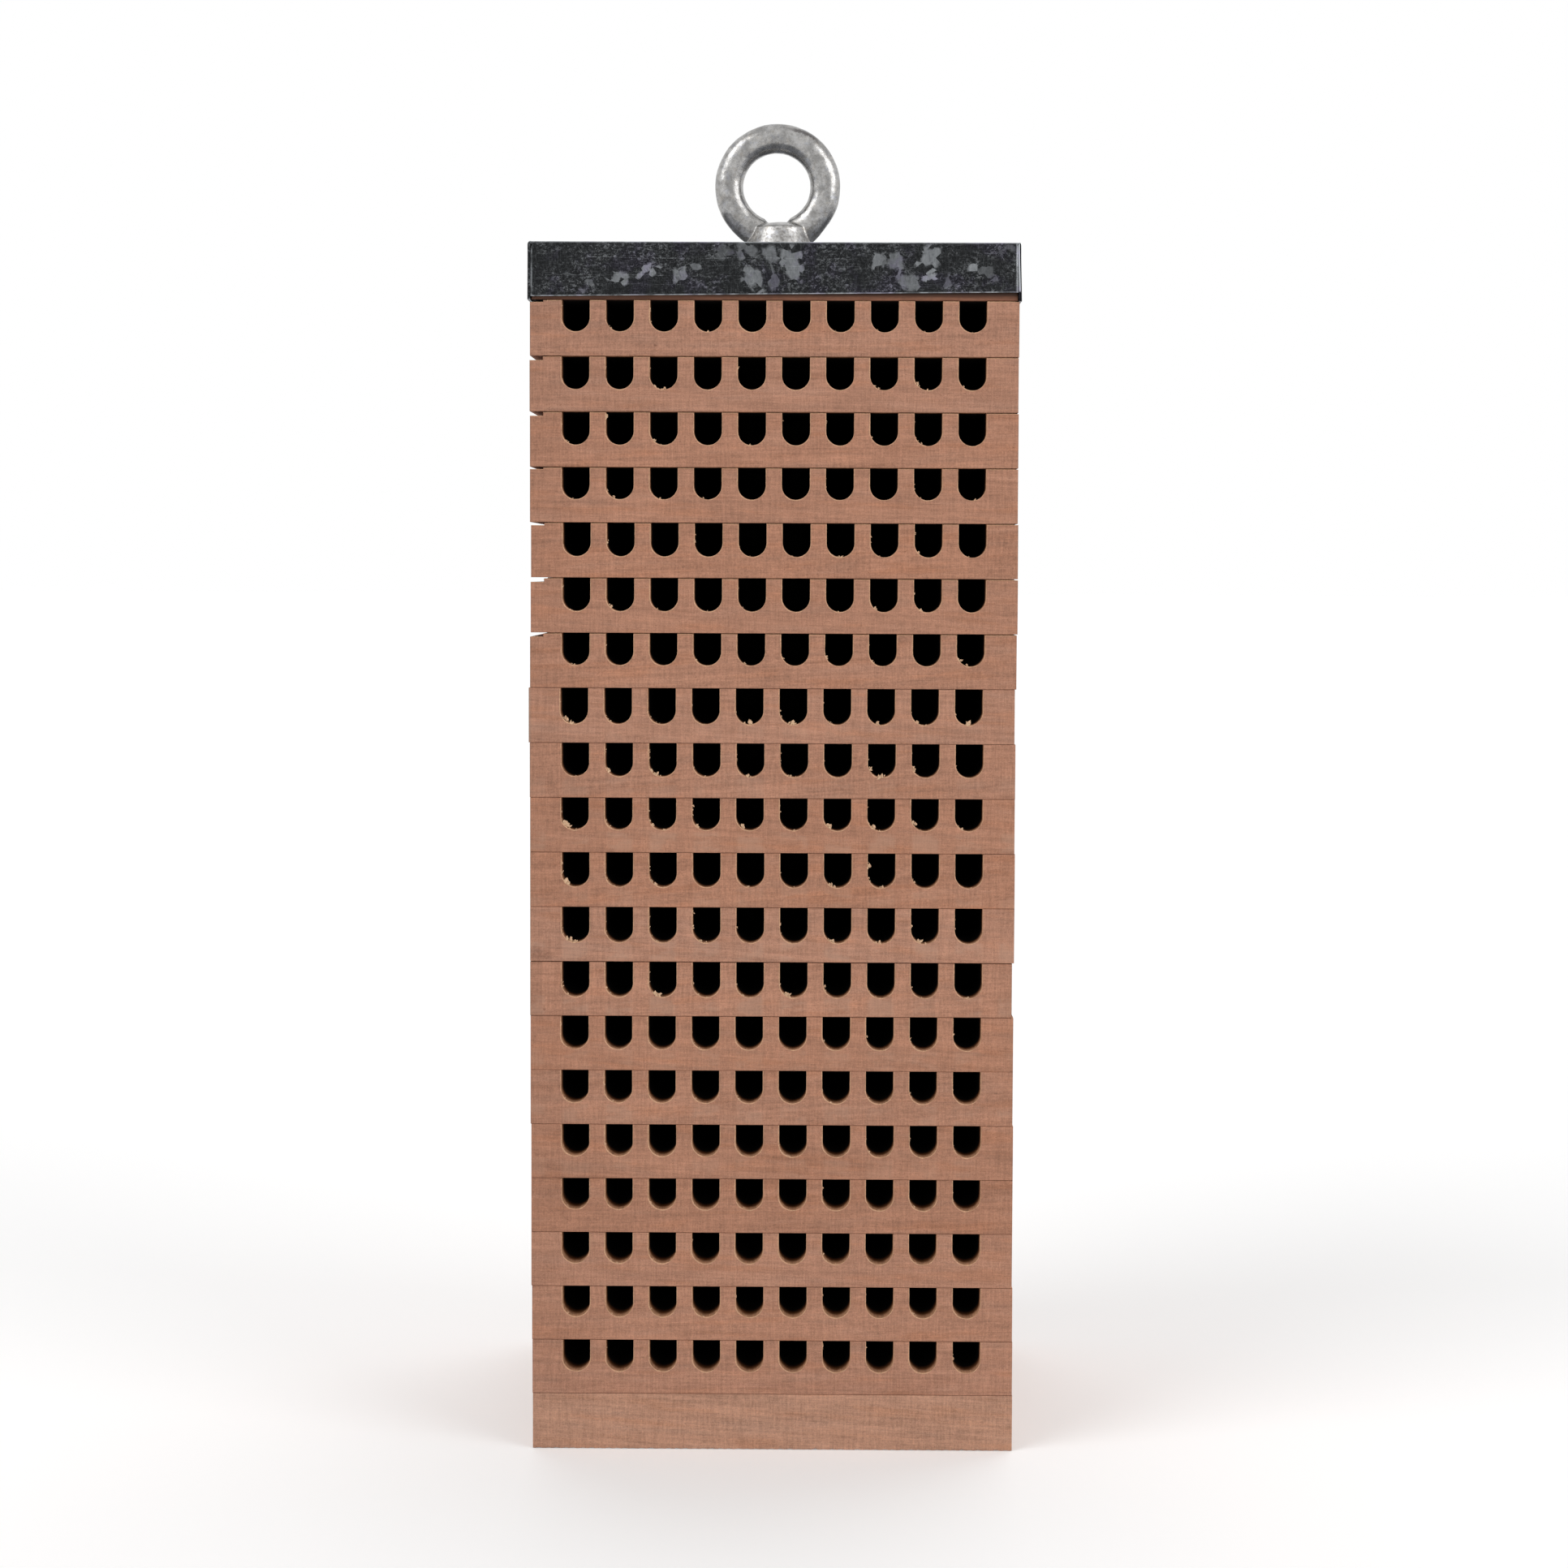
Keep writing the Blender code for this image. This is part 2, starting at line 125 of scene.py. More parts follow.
# Trays whose face the cutter has burnished in pale patches under the tunnels
BURNISHED = {8: 0.3, 9: 0.4, 10: 0.8, 11: 0.5, 12: 0.7, 13: 0.8, 14: 0.5, 15: 0.6, 16: 0.4}

# The tray whose face changes tone in steps from tunnel to tunnel
STEPPED_TRAY = 13

# Dark spots on the fronts: middle and half size across and up, in millimetres, and strength
SPOTS = {
    1: ((-34.0, 319.5, 0.35, 0.3, 0.7),),
    12: ((-66.5, 144.6, 3.6, 1.4, 0.45), (-68.5, 146.2, 1.6, 0.8, 0.4)),
    13: ((-65.7, 128.7, 0.35, 0.35, 0.8),),
}

# Larger splinters at the tunnel mouths: groove, place round the mouth and tenths of a millimetre.
# The place is in degrees: 180 where the left side ends, 270 at the bottom, and below 180 it climbs
# the left side by a tenth of a millimetre a degree
SPLINTERS = {
    2: ((3, 229, 9), (3, 270, 9), (9, 214, 9)),
    3: ((2, 137, 12), (3, 224, 9), (1, 160, 5)),
    4: ((2, 244, 9), (3, 252, 7), (10, 284, 7)),
    5: ((2, 180, 9), (4, 180, 7), (9, 220, 7)),
    6: ((2, 220, 9), (8, 231, 12), (9, 162, 7), (9, 240, 9)),
    7: ((6, 205, 8), (7, 204, 12), (8, 224, 9), (10, 212, 12), (10, 252, 9)),
    8: ((1, 225, 15), (1, 262, 13), (5, 254, 10), (5, 268, 17), (6, 262, 15), (6, 276, 10), (8, 255, 13),
        (9, 236, 11), (10, 264, 14)),
    9: ((2, 216, 13), (3, 212, 10), (3, 240, 11), (5, 258, 15), (8, 202, 12), (8, 262, 16), (8, 278, 12),
        (9, 202, 12)),
    10: ((1, 215, 15), (1, 242, 14), (3, 222, 9), (4, 228, 12), (5, 234, 13), (7, 231, 15), (8, 228, 12),
         (9, 208, 14), (10, 240, 9)),
    11: ((1, 152, 9), (1, 228, 15), (3, 236, 10), (7, 234, 12), (7, 250, 11), (8, 158, 12), (8, 270, 12)),
    12: ((1, 238, 15), (1, 268, 12), (4, 130, 7), (4, 172, 9), (4, 246, 9), (7, 232, 9), (7, 252, 12),
         (8, 255, 12), (9, 246, 12)),
    13: ((3, 150, 6), (3, 175, 7), (3, 238, 12), (3, 252, 13), (6, 232, 12), (6, 246, 12), (7, 188, 9),
         (10, 271, 9)),
    14: ((1, 150, 6), (9, 226, 7)),
    15: ((2, 168, 7), (9, 212, 6)),
    17: ((3, 228, 7), (7, 156, 7)),
    19: ((1, 232, 6), (9, 222, 8)),
    20: ((7, 142, 8), (10, 178, 8)),
}
SMALL_SPLINTERS = 12
BUSY_TRAY_SPLINTERS = 34
BUSY_TRAYS = (8, 13)
SMALL_SPLINTER_PLACES = (145, 278)
SMALL_SPLINTER_LENGTHS = (0.35, 0.65)
CRUMB_SCALE = 1.25
CRUMBS_A_MILLIMETRE = 3.2

# Folded cap. The lip rises from the left to the right, and the sides lean out further down
SHEET = 0.0008
DENT_DEPTH = 0.00016
BEND_MIDDLE_RADIUS = 0.0006
BEND_STEPS = 8
CORNER_SLIT = 0.0004
CORNER_GAP = 0.00012
FRONT_LIP_RISE = (0.001, 0.0025)
BACK_LIP_RISE = (0.0012, 0.0012)
SIDE_LEAN = (0.0001, 0.0004)
RIGHT_END_TURN = 0.00028
CAP_CELLS = 30

# Pale crystals on the cap's front, in millimetres from its left edge and below its top:
# middle across and down, half width, half height, turn in degrees and brightness
FRONT_CRYSTALS = (
    (16.8, 12.6, 1.0, 2.2, 8, 0.16),
    (25.5, 10.6, 2.5, 1.9, 12, 0.26),
    (34.5, 8.2, 3.4, 1.2, 30, 0.27),
    (44.0, 8.4, 1.9, 2.5, -12, 0.24),
    (48.3, 7.4, 2.2, 0.9, -8, 0.2),
    (56.5, 3.0, 3.4, 1.5, 6, 0.11),
    (63.2, 2.6, 3.0, 2.1, -24, 0.16),
    (69.4, 3.6, 2.2, 3.0, 32, 0.19),
    (64.4, 10.4, 2.4, 3.6, 6, 0.24),
    (70.2, 9.6, 1.2, 4.0, 0, 0.14),
    (75.8, 6.4, 2.2, 5.4, 24, 0.25),
    (99.5, 5.3, 1.8, 3.0, -30, 0.24),
    (104.3, 5.8, 3.2, 2.7, 5, 0.2),
    (108.8, 11.0, 3.0, 2.3, -15, 0.2),
    (114.0, 4.0, 3.4, 2.9, 12, 0.27),
    (115.6, 9.0, 2.0, 1.0, 4, 0.33),
    (120.3, 10.6, 1.7, 2.0, 0, 0.14),
    (126.8, 7.4, 2.3, 1.3, 10, 0.31),
    (131.8, 8.3, 2.3, 1.4, 0, 0.13),
    (137.2, 1.8, 2.3, 1.4, 24, 0.11),
)

# Long scratches on the cap's front: below the top, from and to across, half width and brightness
FRONT_SCRATCHES = (
    (4.6, 16.0, 94.0, 0.12, 0.2),
    (6.8, 50.0, 95.0, 0.07, 0.16),
    (9.7, 4.0, 62.0, 0.08, 0.12),
    (12.3, 3.0, 46.0, 0.08, 0.1),
    (3.1, 129.0, 135.0, 0.07, 0.3),
    (11.9, 88.0, 132.0, 0.06, 0.14),
)

# Eye nut. Its hole lies a little to the left, and its collar leans to the right
EYE_HOLE_RADIUS = 0.0102
EYE_HOLE_SHIFT = 0.0003
EYE_HALF_THICKNESS = 0.0042
EYE_BORE_RADIUS = 0.0039
EYE_VOXEL = 0.00028
COLLAR_LEAN = 0.0007

# Thread, washers and nut
WASHER_BEVEL = 0.0002
NUT_CLEARANCE = 0.0003
THREAD_PITCH = 0.00125
THREAD_DEPTH = 0.00072

# Camera, fitted to the tunnel mouths of the photo. Its turns are to the left, upwards and about
# its own axis, in degrees
PICTURE_PIXELS = 1932.0
FOCAL_PIXELS = 4100.0
CAMERA_PLACE = (0.01162, -1.0251, 0.25474)
CAMERA_TURN = (0.4998, -3.6235, 0.2434)

# Lamps: azimuth (0 shines from the front and 90 from the right), elevation and width in degrees,
# and strength. The back lamp isn't seen in metal
LAMPS = {
    "key_left": (-50, 34, 40, 0.32),
    "key_right": (52, 18, 40, 0.33),
    "back": (170, 62, 45, 0.28),
}
WORLD_STRENGTH = 0.42
FLOOR_GREY = 0.9
FLOOR_GLOW = 0.18
FLOOR_HALF_SIZE = 40.0
FLOOR_LEVEL = -0.00005


class Graph:
    """Builds the nodes of one material. Positions are in millimetres."""

    def __init__(self, name):
        self.material = bpy.data.materials.new(name)
        self.material.use_nodes = True
        self.tree = self.material.node_tree
        self.shader = self.tree.nodes["Principled BSDF"]
        coordinates = self.tree.nodes.new("ShaderNodeTexCoord")
        self.position = self.vector("SCALE", coordinates.outputs["Object"], 1 / MM)

    def node(self, kind, **settings):
        made = self.tree.nodes.new(kind)
        for key, value in settings.items():
            setattr(made, key, value)
        return made

    def put(self, socket, value):
        if isinstance(value, bpy.types.NodeSocket):
            self.tree.links.new(value, socket)
        elif isinstance(value, tuple):
            size = len(socket.default_value)
            socket.default_value = (*value, 1.0)[:size]
        else:
            socket.default_value = value

    def fill(self, made, *values):
        """Give a node's sockets their values, from the first one on."""
        for socket, value in zip(made.inputs, values):
            self.put(socket, value)
        return made.outputs[0]

    def put_named(self, made, values):
        for name, value in values.items():
            self.put(made.inputs[name], value)

    def math(self, operation, first, second=0.0):
        return self.fill(self.node("ShaderNodeMath", operation=operation), first, second)

    def add(self, *terms):
        total = terms[0]
        for term in terms[1:]:
            total = self.math("ADD", total, term)
        return total

    def times(self, *factors):
        total = factors[0]
        for factor in factors[1:]:
            total = self.math("MULTIPLY", total, factor)
        return total

    def vector(self, operation, first, second=None):
        made = self.node("ShaderNodeVectorMath", operation=operation)
        self.put(made.inputs[0], first)
        if operation == "SCALE":
            self.put(made.inputs["Scale"], second)
        elif second is not None:
            self.put(made.inputs[1], second)
        return made.outputs["Value" if operation == "LENGTH" else "Vector"]

    def split(self, vector):
        made = self.node("ShaderNodeSeparateXYZ")
        self.put(made.inputs[0], vector)
        return made.outputs

    def join(self, x, y, z):
        return self.fill(self.node("ShaderNodeCombineXYZ"), x, y, z)

    def ramp(self, value, low, high, out_low=0.0, out_high=1.0):
        made = self.node("ShaderNodeMapRange", clamp=True, interpolation_type="SMOOTHSTEP")
        return self.fill(made, value, low, high, out_low, out_high)

    def swing(self, value, amount):
        """Noise turned into a change of plus or minus half the amount."""
        return self.ramp(value, 0.3, 0.7, -amount / 2, amount / 2)

    def noise(self, vector, scale, detail=3.0, rough=0.6, distortion=0.0, colour=False):
        """Scale is grains per millimetre, one number or one for each axis."""
        if isinstance(scale, tuple):
            vector = self.vector("MULTIPLY", vector, scale)
            scale = 1.0
        made = self.node("ShaderNodeTexNoise")
        self.put_named(made, {
            "Vector": vector, "Scale": scale, "Detail": detail, "Roughness": rough,
            "Distortion": distortion,
        })
        return made.outputs[1 if colour else 0]

    def turned(self, vector, angles, place=(0.0, 0.0, 0.0), size=(1.0, 1.0, 1.0)):
        """The vector as seen from a frame that is placed, turned in degrees and scaled."""
        made = self.node("ShaderNodeMapping", vector_type="TEXTURE")
        return self.fill(made, vector, place, tuple(radians(angle) for angle in angles), size)

    def spot(self, vector, place, half_sizes, turn=0.0, soft=0.5):
        """1 inside an upright ellipse on the front and 0 outside it."""
        across, up = half_sizes
        inner = self.turned(vector, (0.0, -turn, 0.0), place, (across, 1000.0, up))
        return self.ramp(self.vector("LENGTH", inner), 1.0 + soft / 2, 1.0 - soft / 2)

    def mix(self, factor, first, second):
        made = self.node("ShaderNodeMix", data_type="RGBA")
        self.put(made.inputs[0], factor)
        self.put(made.inputs[6], first)
        self.put(made.inputs[7], second)
        return made.outputs[2]

    def tint(self, colour, amount):
        return self.vector("SCALE", colour, amount)

    def bump(self, height, strength, distance, below=None):
        made = self.node("ShaderNodeBump")
        self.put_named(made, {"Strength": strength, "Distance": distance, "Height": height})
        if below is not None:
            self.put(made.inputs["Normal"], below)
        return made.outputs[0]

    def finish(self, colour, roughness, metallic, normal, specular=0.5):
        self.put_named(self.shader, {
            "Base Color": colour, "Roughness": roughness, "Metallic": metallic,
            "Specular IOR Level": specular, "Normal": normal,
        })
        return self.material


def scaled(colour, *factors):
    return tuple(channel * factor for channel, factor in zip(colour, factors))


def wood(name, colour, seed, tray=None, painted_light_length=None):
    """Beech whose grain runs front to back, so that the front shows rays, pores and flecks."""
    g = Graph(name)
    x, y, _ = g.split(g.position)
    place = g.vector("ADD", g.position, (seed * 37.0, seed * 11.0, seed * 23.0))
    tilted = g.turned(place, (0.0, 4.0 * sin(seed * 2.4), 0.0))

    # Wide blotches and growth rings, then rays, fibres and pores
    blotches = g.noise(tilted, (0.06, 0.008, 0.22), 3.0, 0.6, 0.2)
    rings = g.noise(tilted, (0.025, 0.004, 0.9), 4.0, 0.65)
    rays = g.noise(place, (2.0, 0.05, 0.16))
    fibres = g.noise(place, (0.22, 0.05, 3.2))
    pores = g.noise(place, (3.0, 0.1, 3.0), 4.0, 0.7)
    specks = g.noise(place, (1.1, 0.08, 1.5), 4.0, 0.7)
    amount = g.add(
        g.swing(blotches, 0.13), g.swing(rings, 0.21), g.swing(rays, 0.2),
        g.swing(fibres, 0.17), g.swing(pores, 0.28), g.swing(specks, 0.16), 1.0,
    )
    shade = g.tint(colour, amount)

    # Some areas are more orange and some greyer
    hue = g.noise(tilted, (0.04, 0.008, 0.3), 2.0)
    orange = g.ramp(hue, 0.52, 0.7, 0.0, 0.45)
    grey = g.ramp(hue, 0.46, 0.3, 0.0, 0.28)
    shade = g.mix(orange, shade, g.tint(scaled(colour, 1.0, 0.88, 0.76), amount))
    shade = g.mix(grey, shade, g.tint(scaled(colour, 0.98, 1.1, 1.2), amount))

    # Short dark flecks, and fewer pale ones
    dark_noise = g.noise(place, (1.3, 0.12, 3.0), 2.0, 0.6, 0.3)
    flecks = g.times(g.ramp(dark_noise, 0.63, 0.71), g.ramp(rings, 0.35, 0.6, 0.3, 1.0))
    shade = g.mix(g.times(flecks, 0.5), shade, scaled(colour, 0.42, 0.34, 0.3))
    elsewhere = g.vector("ADD", place, (51.0, 7.0, 19.0))
    pale = g.ramp(g.noise(elsewhere, (1.1, 0.1, 2.6), 2.0, 0.6, 0.3), 0.66, 0.74)
    shade = g.mix(g.times(pale, 0.3), shade, scaled(colour, 1.35, 1.5, 1.6))

    if tray is not None:
        shade = tray_marks(g, shade, colour, tray, place)

    # The left end is darker and its front edge greyer
    shade = g.tint(shade, g.ramp(x, -70.0, -40.0, 0.93, 1.0))
    near_front = g.ramp(y, FRONT / MM + 3.0, FRONT / MM + 1.0)
    edge = g.times(g.ramp(x, -69.3, -70.1), g.ramp(pores, 0.3, 0.7, 0.35, 0.75), near_front)
    shade = g.mix(edge, shade, (0.3, 0.22, 0.175))

    height = g.add(g.times(pores, 0.6), g.times(fibres, 0.2), g.times(rays, 0.2), g.times(flecks, -0.5))
    normal = g.bump(height, 0.35, 0.00012)
    roughness = g.ramp(pores, 0.2, 0.8, 0.66, 0.86)
    # In a tunnel: painted light near the mouth, then painted shade that turns to painted black further
    # back
    if painted_light_length is not None:
        depth = g.add(y, g.times(g.noise(place, 0.6, 2.0), -1.5), -FRONT / MM)
        shade = g.mix(min(1.0, painted_light_length / 4.0), shade, g.tint(TUNNEL_PAINTED_LIGHT_COLOUR, amount))
        tunnel_shade = g.ramp(depth, painted_light_length - 1.0, painted_light_length + 2.5, 0.0, 0.85)
        shade = g.mix(tunnel_shade, shade, TUNNEL_PAINTED_SHADE_COLOUR)
        shade = g.mix(g.ramp(depth, painted_light_length - 0.9, painted_light_length * 1.8 + 4.6), shade, TUNNEL_PAINTED_SHADOW_COLOUR)
    return g.finish(shade, roughness, 0.0, normal, 0.25)


def tray_marks(g, shade, colour, tray, place):
    """Burnished patches, steps of tone and dark spots on one tray's face."""
    x, y, z = g.split(g.position)
    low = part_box(f"tray_{tray:02d}")[0] / MM
    on_front = g.ramp(y, FRONT / MM + 2.5, FRONT / MM + 0.5)
    first = -(GROOVE_COUNT / 2) * GROOVE_PITCH / MM
    share = g.math("FRACT", g.times(g.math("SUBTRACT", x, first), 1 / (GROOVE_PITCH / MM)))
    if tray in BURNISHED:
        middle = g.math("ABSOLUTE", g.math("SUBTRACT", share, 0.5))
        under = g.times(g.ramp(middle, 0.36, 0.24), g.ramp(z, low.z + 6.4, low.z + 5.2))
        under = g.times(under, g.ramp(z, low.z, low.z + 1.2, 0.4, 1.0))
        patch = g.ramp(g.noise(place, (0.09, 0.02, 0.25)), 0.42, 0.6)
        amount = g.times(under, patch, on_front, 0.55 * BURNISHED[tray])
        shade = g.mix(amount, shade, scaled(colour, 1.1, 1.32, 1.45))
    if tray == STEPPED_TRAY:
        step = g.math("FRACT", g.add(share, 0.26))
        shade = g.mix(on_front, shade, g.tint(shade, g.ramp(step, 0.0, 1.0, 1.07, 0.95)))
    for across, up, half_wide, half_high, strength in SPOTS.get(tray, ()):
        ragged = g.vector("ADD", g.position, g.vector("SCALE", g.noise(place, 1.2, colour=True), 0.8))
        spot = g.spot(ragged, (across + 0.4, 0.0, up + 0.4), (half_wide, half_high), 0.0, 1.2)
        mottled = g.times(spot, g.ramp(g.noise(place, 1.6), 0.4, 0.56, 0.4, 1.0), on_front, strength)
        shade = g.mix(mottled, shade, scaled(colour, 0.38, 0.32, 0.3))
    return shade


def torn_wood(name, colour):
    """Fresh wood at the tunnel mouths and on the splinters."""
    g = Graph(name)
    fibre = g.noise(g.position, (2.2, 2.2, 2.2), 4.0, 0.7)
    shade = g.tint(colour, g.ramp(fibre, 0.25, 0.75, 0.68, 1.28))
    return g.finish(shade, g.ramp(fibre, 0.2, 0.8, 0.7, 0.9), 0.0, g.bump(fibre, 0.4, 0.0001), 0.25)


def cover_wood():
    """The cover's front has painted shade under the lip, most on the left, and further back the wood has
    painted shade that is nearly black.
    """
    g = Graph("cover_wood")
    x, y, z = g.split(g.position)
    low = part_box("cover_board")[0] / MM
    grain = g.noise(g.position, (0.05, 0.35, 3.0), 4.0, 0.65)
    pores = g.noise(g.position, (0.7, 2.5, 2.5))
    shade = g.tint(COVER_COLOUR, g.add(g.swing(grain, 0.35), g.swing(pores, 0.25), 1.0))
    # Painted shade under the cap's lip, stronger towards the left
    painted_lip_shade = g.ramp(z, low.z + 0.2, low.z + 2.2, 0.0, 0.92)
    painted_lip_shade = g.math("MAXIMUM", painted_lip_shade, g.ramp(x, 10.0, -45.0, 0.0, 0.62))
    shade = g.mix(painted_lip_shade, shade, (0.03, 0.016, 0.011))
    # Painted shade further back from the front
    shade = g.mix(g.ramp(y, low.y + 0.5, low.y + 3.0), shade, (0.01, 0.006, 0.004))
    return g.finish(shade, g.ramp(pores, 0.2, 0.8, 0.7, 0.9), 0.0, g.bump(grain, 0.3, 0.0001), 0.25)


def painted_edge_highlights(g):
    """Painted highlight where the sheet is bent or cut."""
    edge_highlight = g.node("ShaderNodeAttribute", attribute_name="edge_highlight").outputs["Fac"]
    patchy = g.ramp(g.noise(g.position, 0.3, 4.0), 0.38, 0.62, 0.25, 1.0)
    return g.times(edge_highlight, patchy, 0.5)


def front_scratches(g, low, high):
    """Long dotted scratches along the cap's front."""
    x, _, z = g.split(g.position)
    drift = g.swing(g.noise(g.position, 0.05, 1.0), 0.5)
    total = 0.0
    for below, start, end, half_width, strength in FRONT_SCRATCHES:
        off = g.math("ABSOLUTE", g.add(z, drift, below - high.z))
        line = g.times(g.ramp(off, half_width * 1.4, half_width * 0.6), strength)
        line = g.times(line, g.ramp(x, low.x + start, low.x + start + 2.0))
        line = g.times(line, g.ramp(x, low.x + end, low.x + end - 2.0))
        total = g.add(line, total)
    dots = g.ramp(g.noise(g.position, (2.4, 1.0, 1.2), 4.0, 0.8), 0.4, 0.62)
    runs = g.ramp(g.noise(g.position, (0.12, 0.1, 0.6), 2.0), 0.38, 0.56, 0.25, 1.0)
    return g.times(total, dots, runs)


def right_cut_edge(g, low, high, grey):
    """The right flange's front cut edge: a painted highlight on its inner half and painted shade outside
    and below.
    """
    x, y, z = g.split(g.position)
    lean = g.ramp(z, low.z, high.z, 0.0, SIDE_LEAN[1] / MM)
    depth = g.math("SUBTRACT", high.x, g.add(x, lean))
    edge = g.times(g.ramp(depth, 0.85, 0.75), g.ramp(y, low.y + 0.25, low.y + 0.1))
    cut_edge_highlight = g.times(g.ramp(depth, 0.3, 0.45), g.ramp(z, low.z + 2.4, low.z + 3.2), 0.7)
    kept = g.times(grey, g.math("SUBTRACT", 1.0, edge))
    return g.add(kept, g.times(edge, g.add(cut_edge_highlight, 0.02)))


def front_crystals(g, low, high):
    """Pale crystals of the spangle at their places on the cap's front."""
    coarse = g.noise(g.position, 0.45, 3.0, 0.6, colour=True)
    fine = g.noise(g.position, 2.0, 3.0, 0.7, colour=True)
    facets = g.node("ShaderNodeTexVoronoi")
    g.put_named(facets, {"Vector": g.position, "Scale": 0.42})
    pushes = ((coarse, 2.4), (fine, 0.7), (facets.outputs["Color"], 2.6))
    ragged = g.position
    for pattern, reach in pushes:
        ragged = g.vector("ADD", ragged, g.vector("SCALE", pattern, reach))
    middle = sum(reach for pattern, reach in pushes) / 2
    total = 0.0
    for across, below, half_wide, half_high, turn, strength in FRONT_CRYSTALS:
        place = (low.x + across + middle, 0.0, high.z - below + middle)
        spot = g.times(g.spot(ragged, place, (half_wide, half_high), turn, 0.4), strength)
        total = g.math("MAXIMUM", spot, total)
    return total


def zinc_sheet():
    """Galvanised sheet, darker than real zinc as a painted reflection of dark surroundings, with mottling,
    spangle crystals, brushed dashes and scratches.
    """
    g = Graph("zinc_sheet")
    low, high = (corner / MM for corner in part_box("cap"))
    at = g.position
    _, y, z = g.split(at)
    on_front = g.ramp(y, low.y + 1.0, low.y + 0.6)

    cloud = g.noise(at, 0.1)
    other_cloud = g.noise(g.vector("ADD", at, (33.0, 5.0, 71.0)), 0.13)
    mottles = g.ramp(g.noise(at, (1.2, 1.2, 1.5), 5.0, 0.8, 0.5), 0.48, 0.68)
    level = g.ramp(g.noise(at, (0.45, 0.45, 5.0), 3.0, 0.7), 0.52, 0.74)
    upright = g.ramp(g.noise(at, (5.0, 5.0, 0.45), 3.0, 0.7), 0.52, 0.74)
    grain = g.noise(at, 6.0, 3.0, 0.7)
    # A low grey throughout, darker than real zinc: a painted reflection of dark surroundings
    grey = g.add(
        0.026,
        g.times(mottles, g.ramp(cloud, 0.38, 0.62, 0.03, 0.24)),
        g.times(level, g.ramp(other_cloud, 0.35, 0.65, 0.02, 0.1)),
        g.times(upright, g.ramp(cloud, 0.65, 0.35, 0.02, 0.08)),
        g.swing(grain, 0.03),
    )

    # Short scratches at a slant, in a few places
    slanting = g.turned(at, (38.0, 42.0, 38.0))
    slant = g.ramp(g.noise(slanting, (0.25, 0.25, 6.0), 2.0), 0.66, 0.74)
    slant = g.times(slant, g.ramp(g.noise(at, 0.13, 2.0), 0.5, 0.62), 0.26)
    scratches = g.add(slant, g.times(front_scratches(g, low, high), on_front))

    # Crystals have their places on the front and fall anywhere else
    elsewhere = g.ramp(g.noise(at, 0.16, 4.0, 0.6, 0.5), 0.58, 0.61)
    strewn = g.times(elsewhere, g.ramp(cloud, 0.35, 0.65, 0.26, 0.1))
    placed = g.times(front_crystals(g, low, high), on_front)
    crystals = g.math("MAXIMUM", placed, g.times(strewn, g.math("SUBTRACT", 1.0, on_front)))
    feather = g.ramp(g.noise(at, (1.4, 1.4, 0.5), 4.0, 0.7, 0.4), 0.3, 0.66, 0.72, 1.1)
    crystals = g.times(crystals, feather)

    grey = g.add(g.math("MAXIMUM", grey, g.add(crystals, g.times(grey, 0.45))), scratches)

    # The top is paler than the sides, whose dark grey is a painted reflection of dark surroundings
    on_top = g.ramp(z, high.z - 0.5, high.z - 0.1)
    grey = g.add(grey, g.times(on_top, g.add(0.26, g.times(grey, 0.3))))
    # Painted highlights along the bends and cut edges
    grey = g.add(grey, painted_edge_highlights(g))
    grey = right_cut_edge(g, low, high, grey)
    violet = g.ramp(g.noise(g.vector("ADD", at, (7.0, 61.0, 13.0)), 0.16), 0.48, 0.66)
    hue = g.mix(violet, (0.6, 0.63, 0.66), (0.62, 0.61, 0.75))
    shade = g.tint(hue, g.math("MAXIMUM", grey, 0.01))
    height = g.add(g.times(mottles, 0.4), g.times(crystals, 1.2), g.times(scratches, -2.0))
    normal = g.bump(height, 0.15, 0.0001)
    return g.finish(shade, g.ramp(grey, 0.02, 0.4, 0.34, 0.5), 1.0, normal)


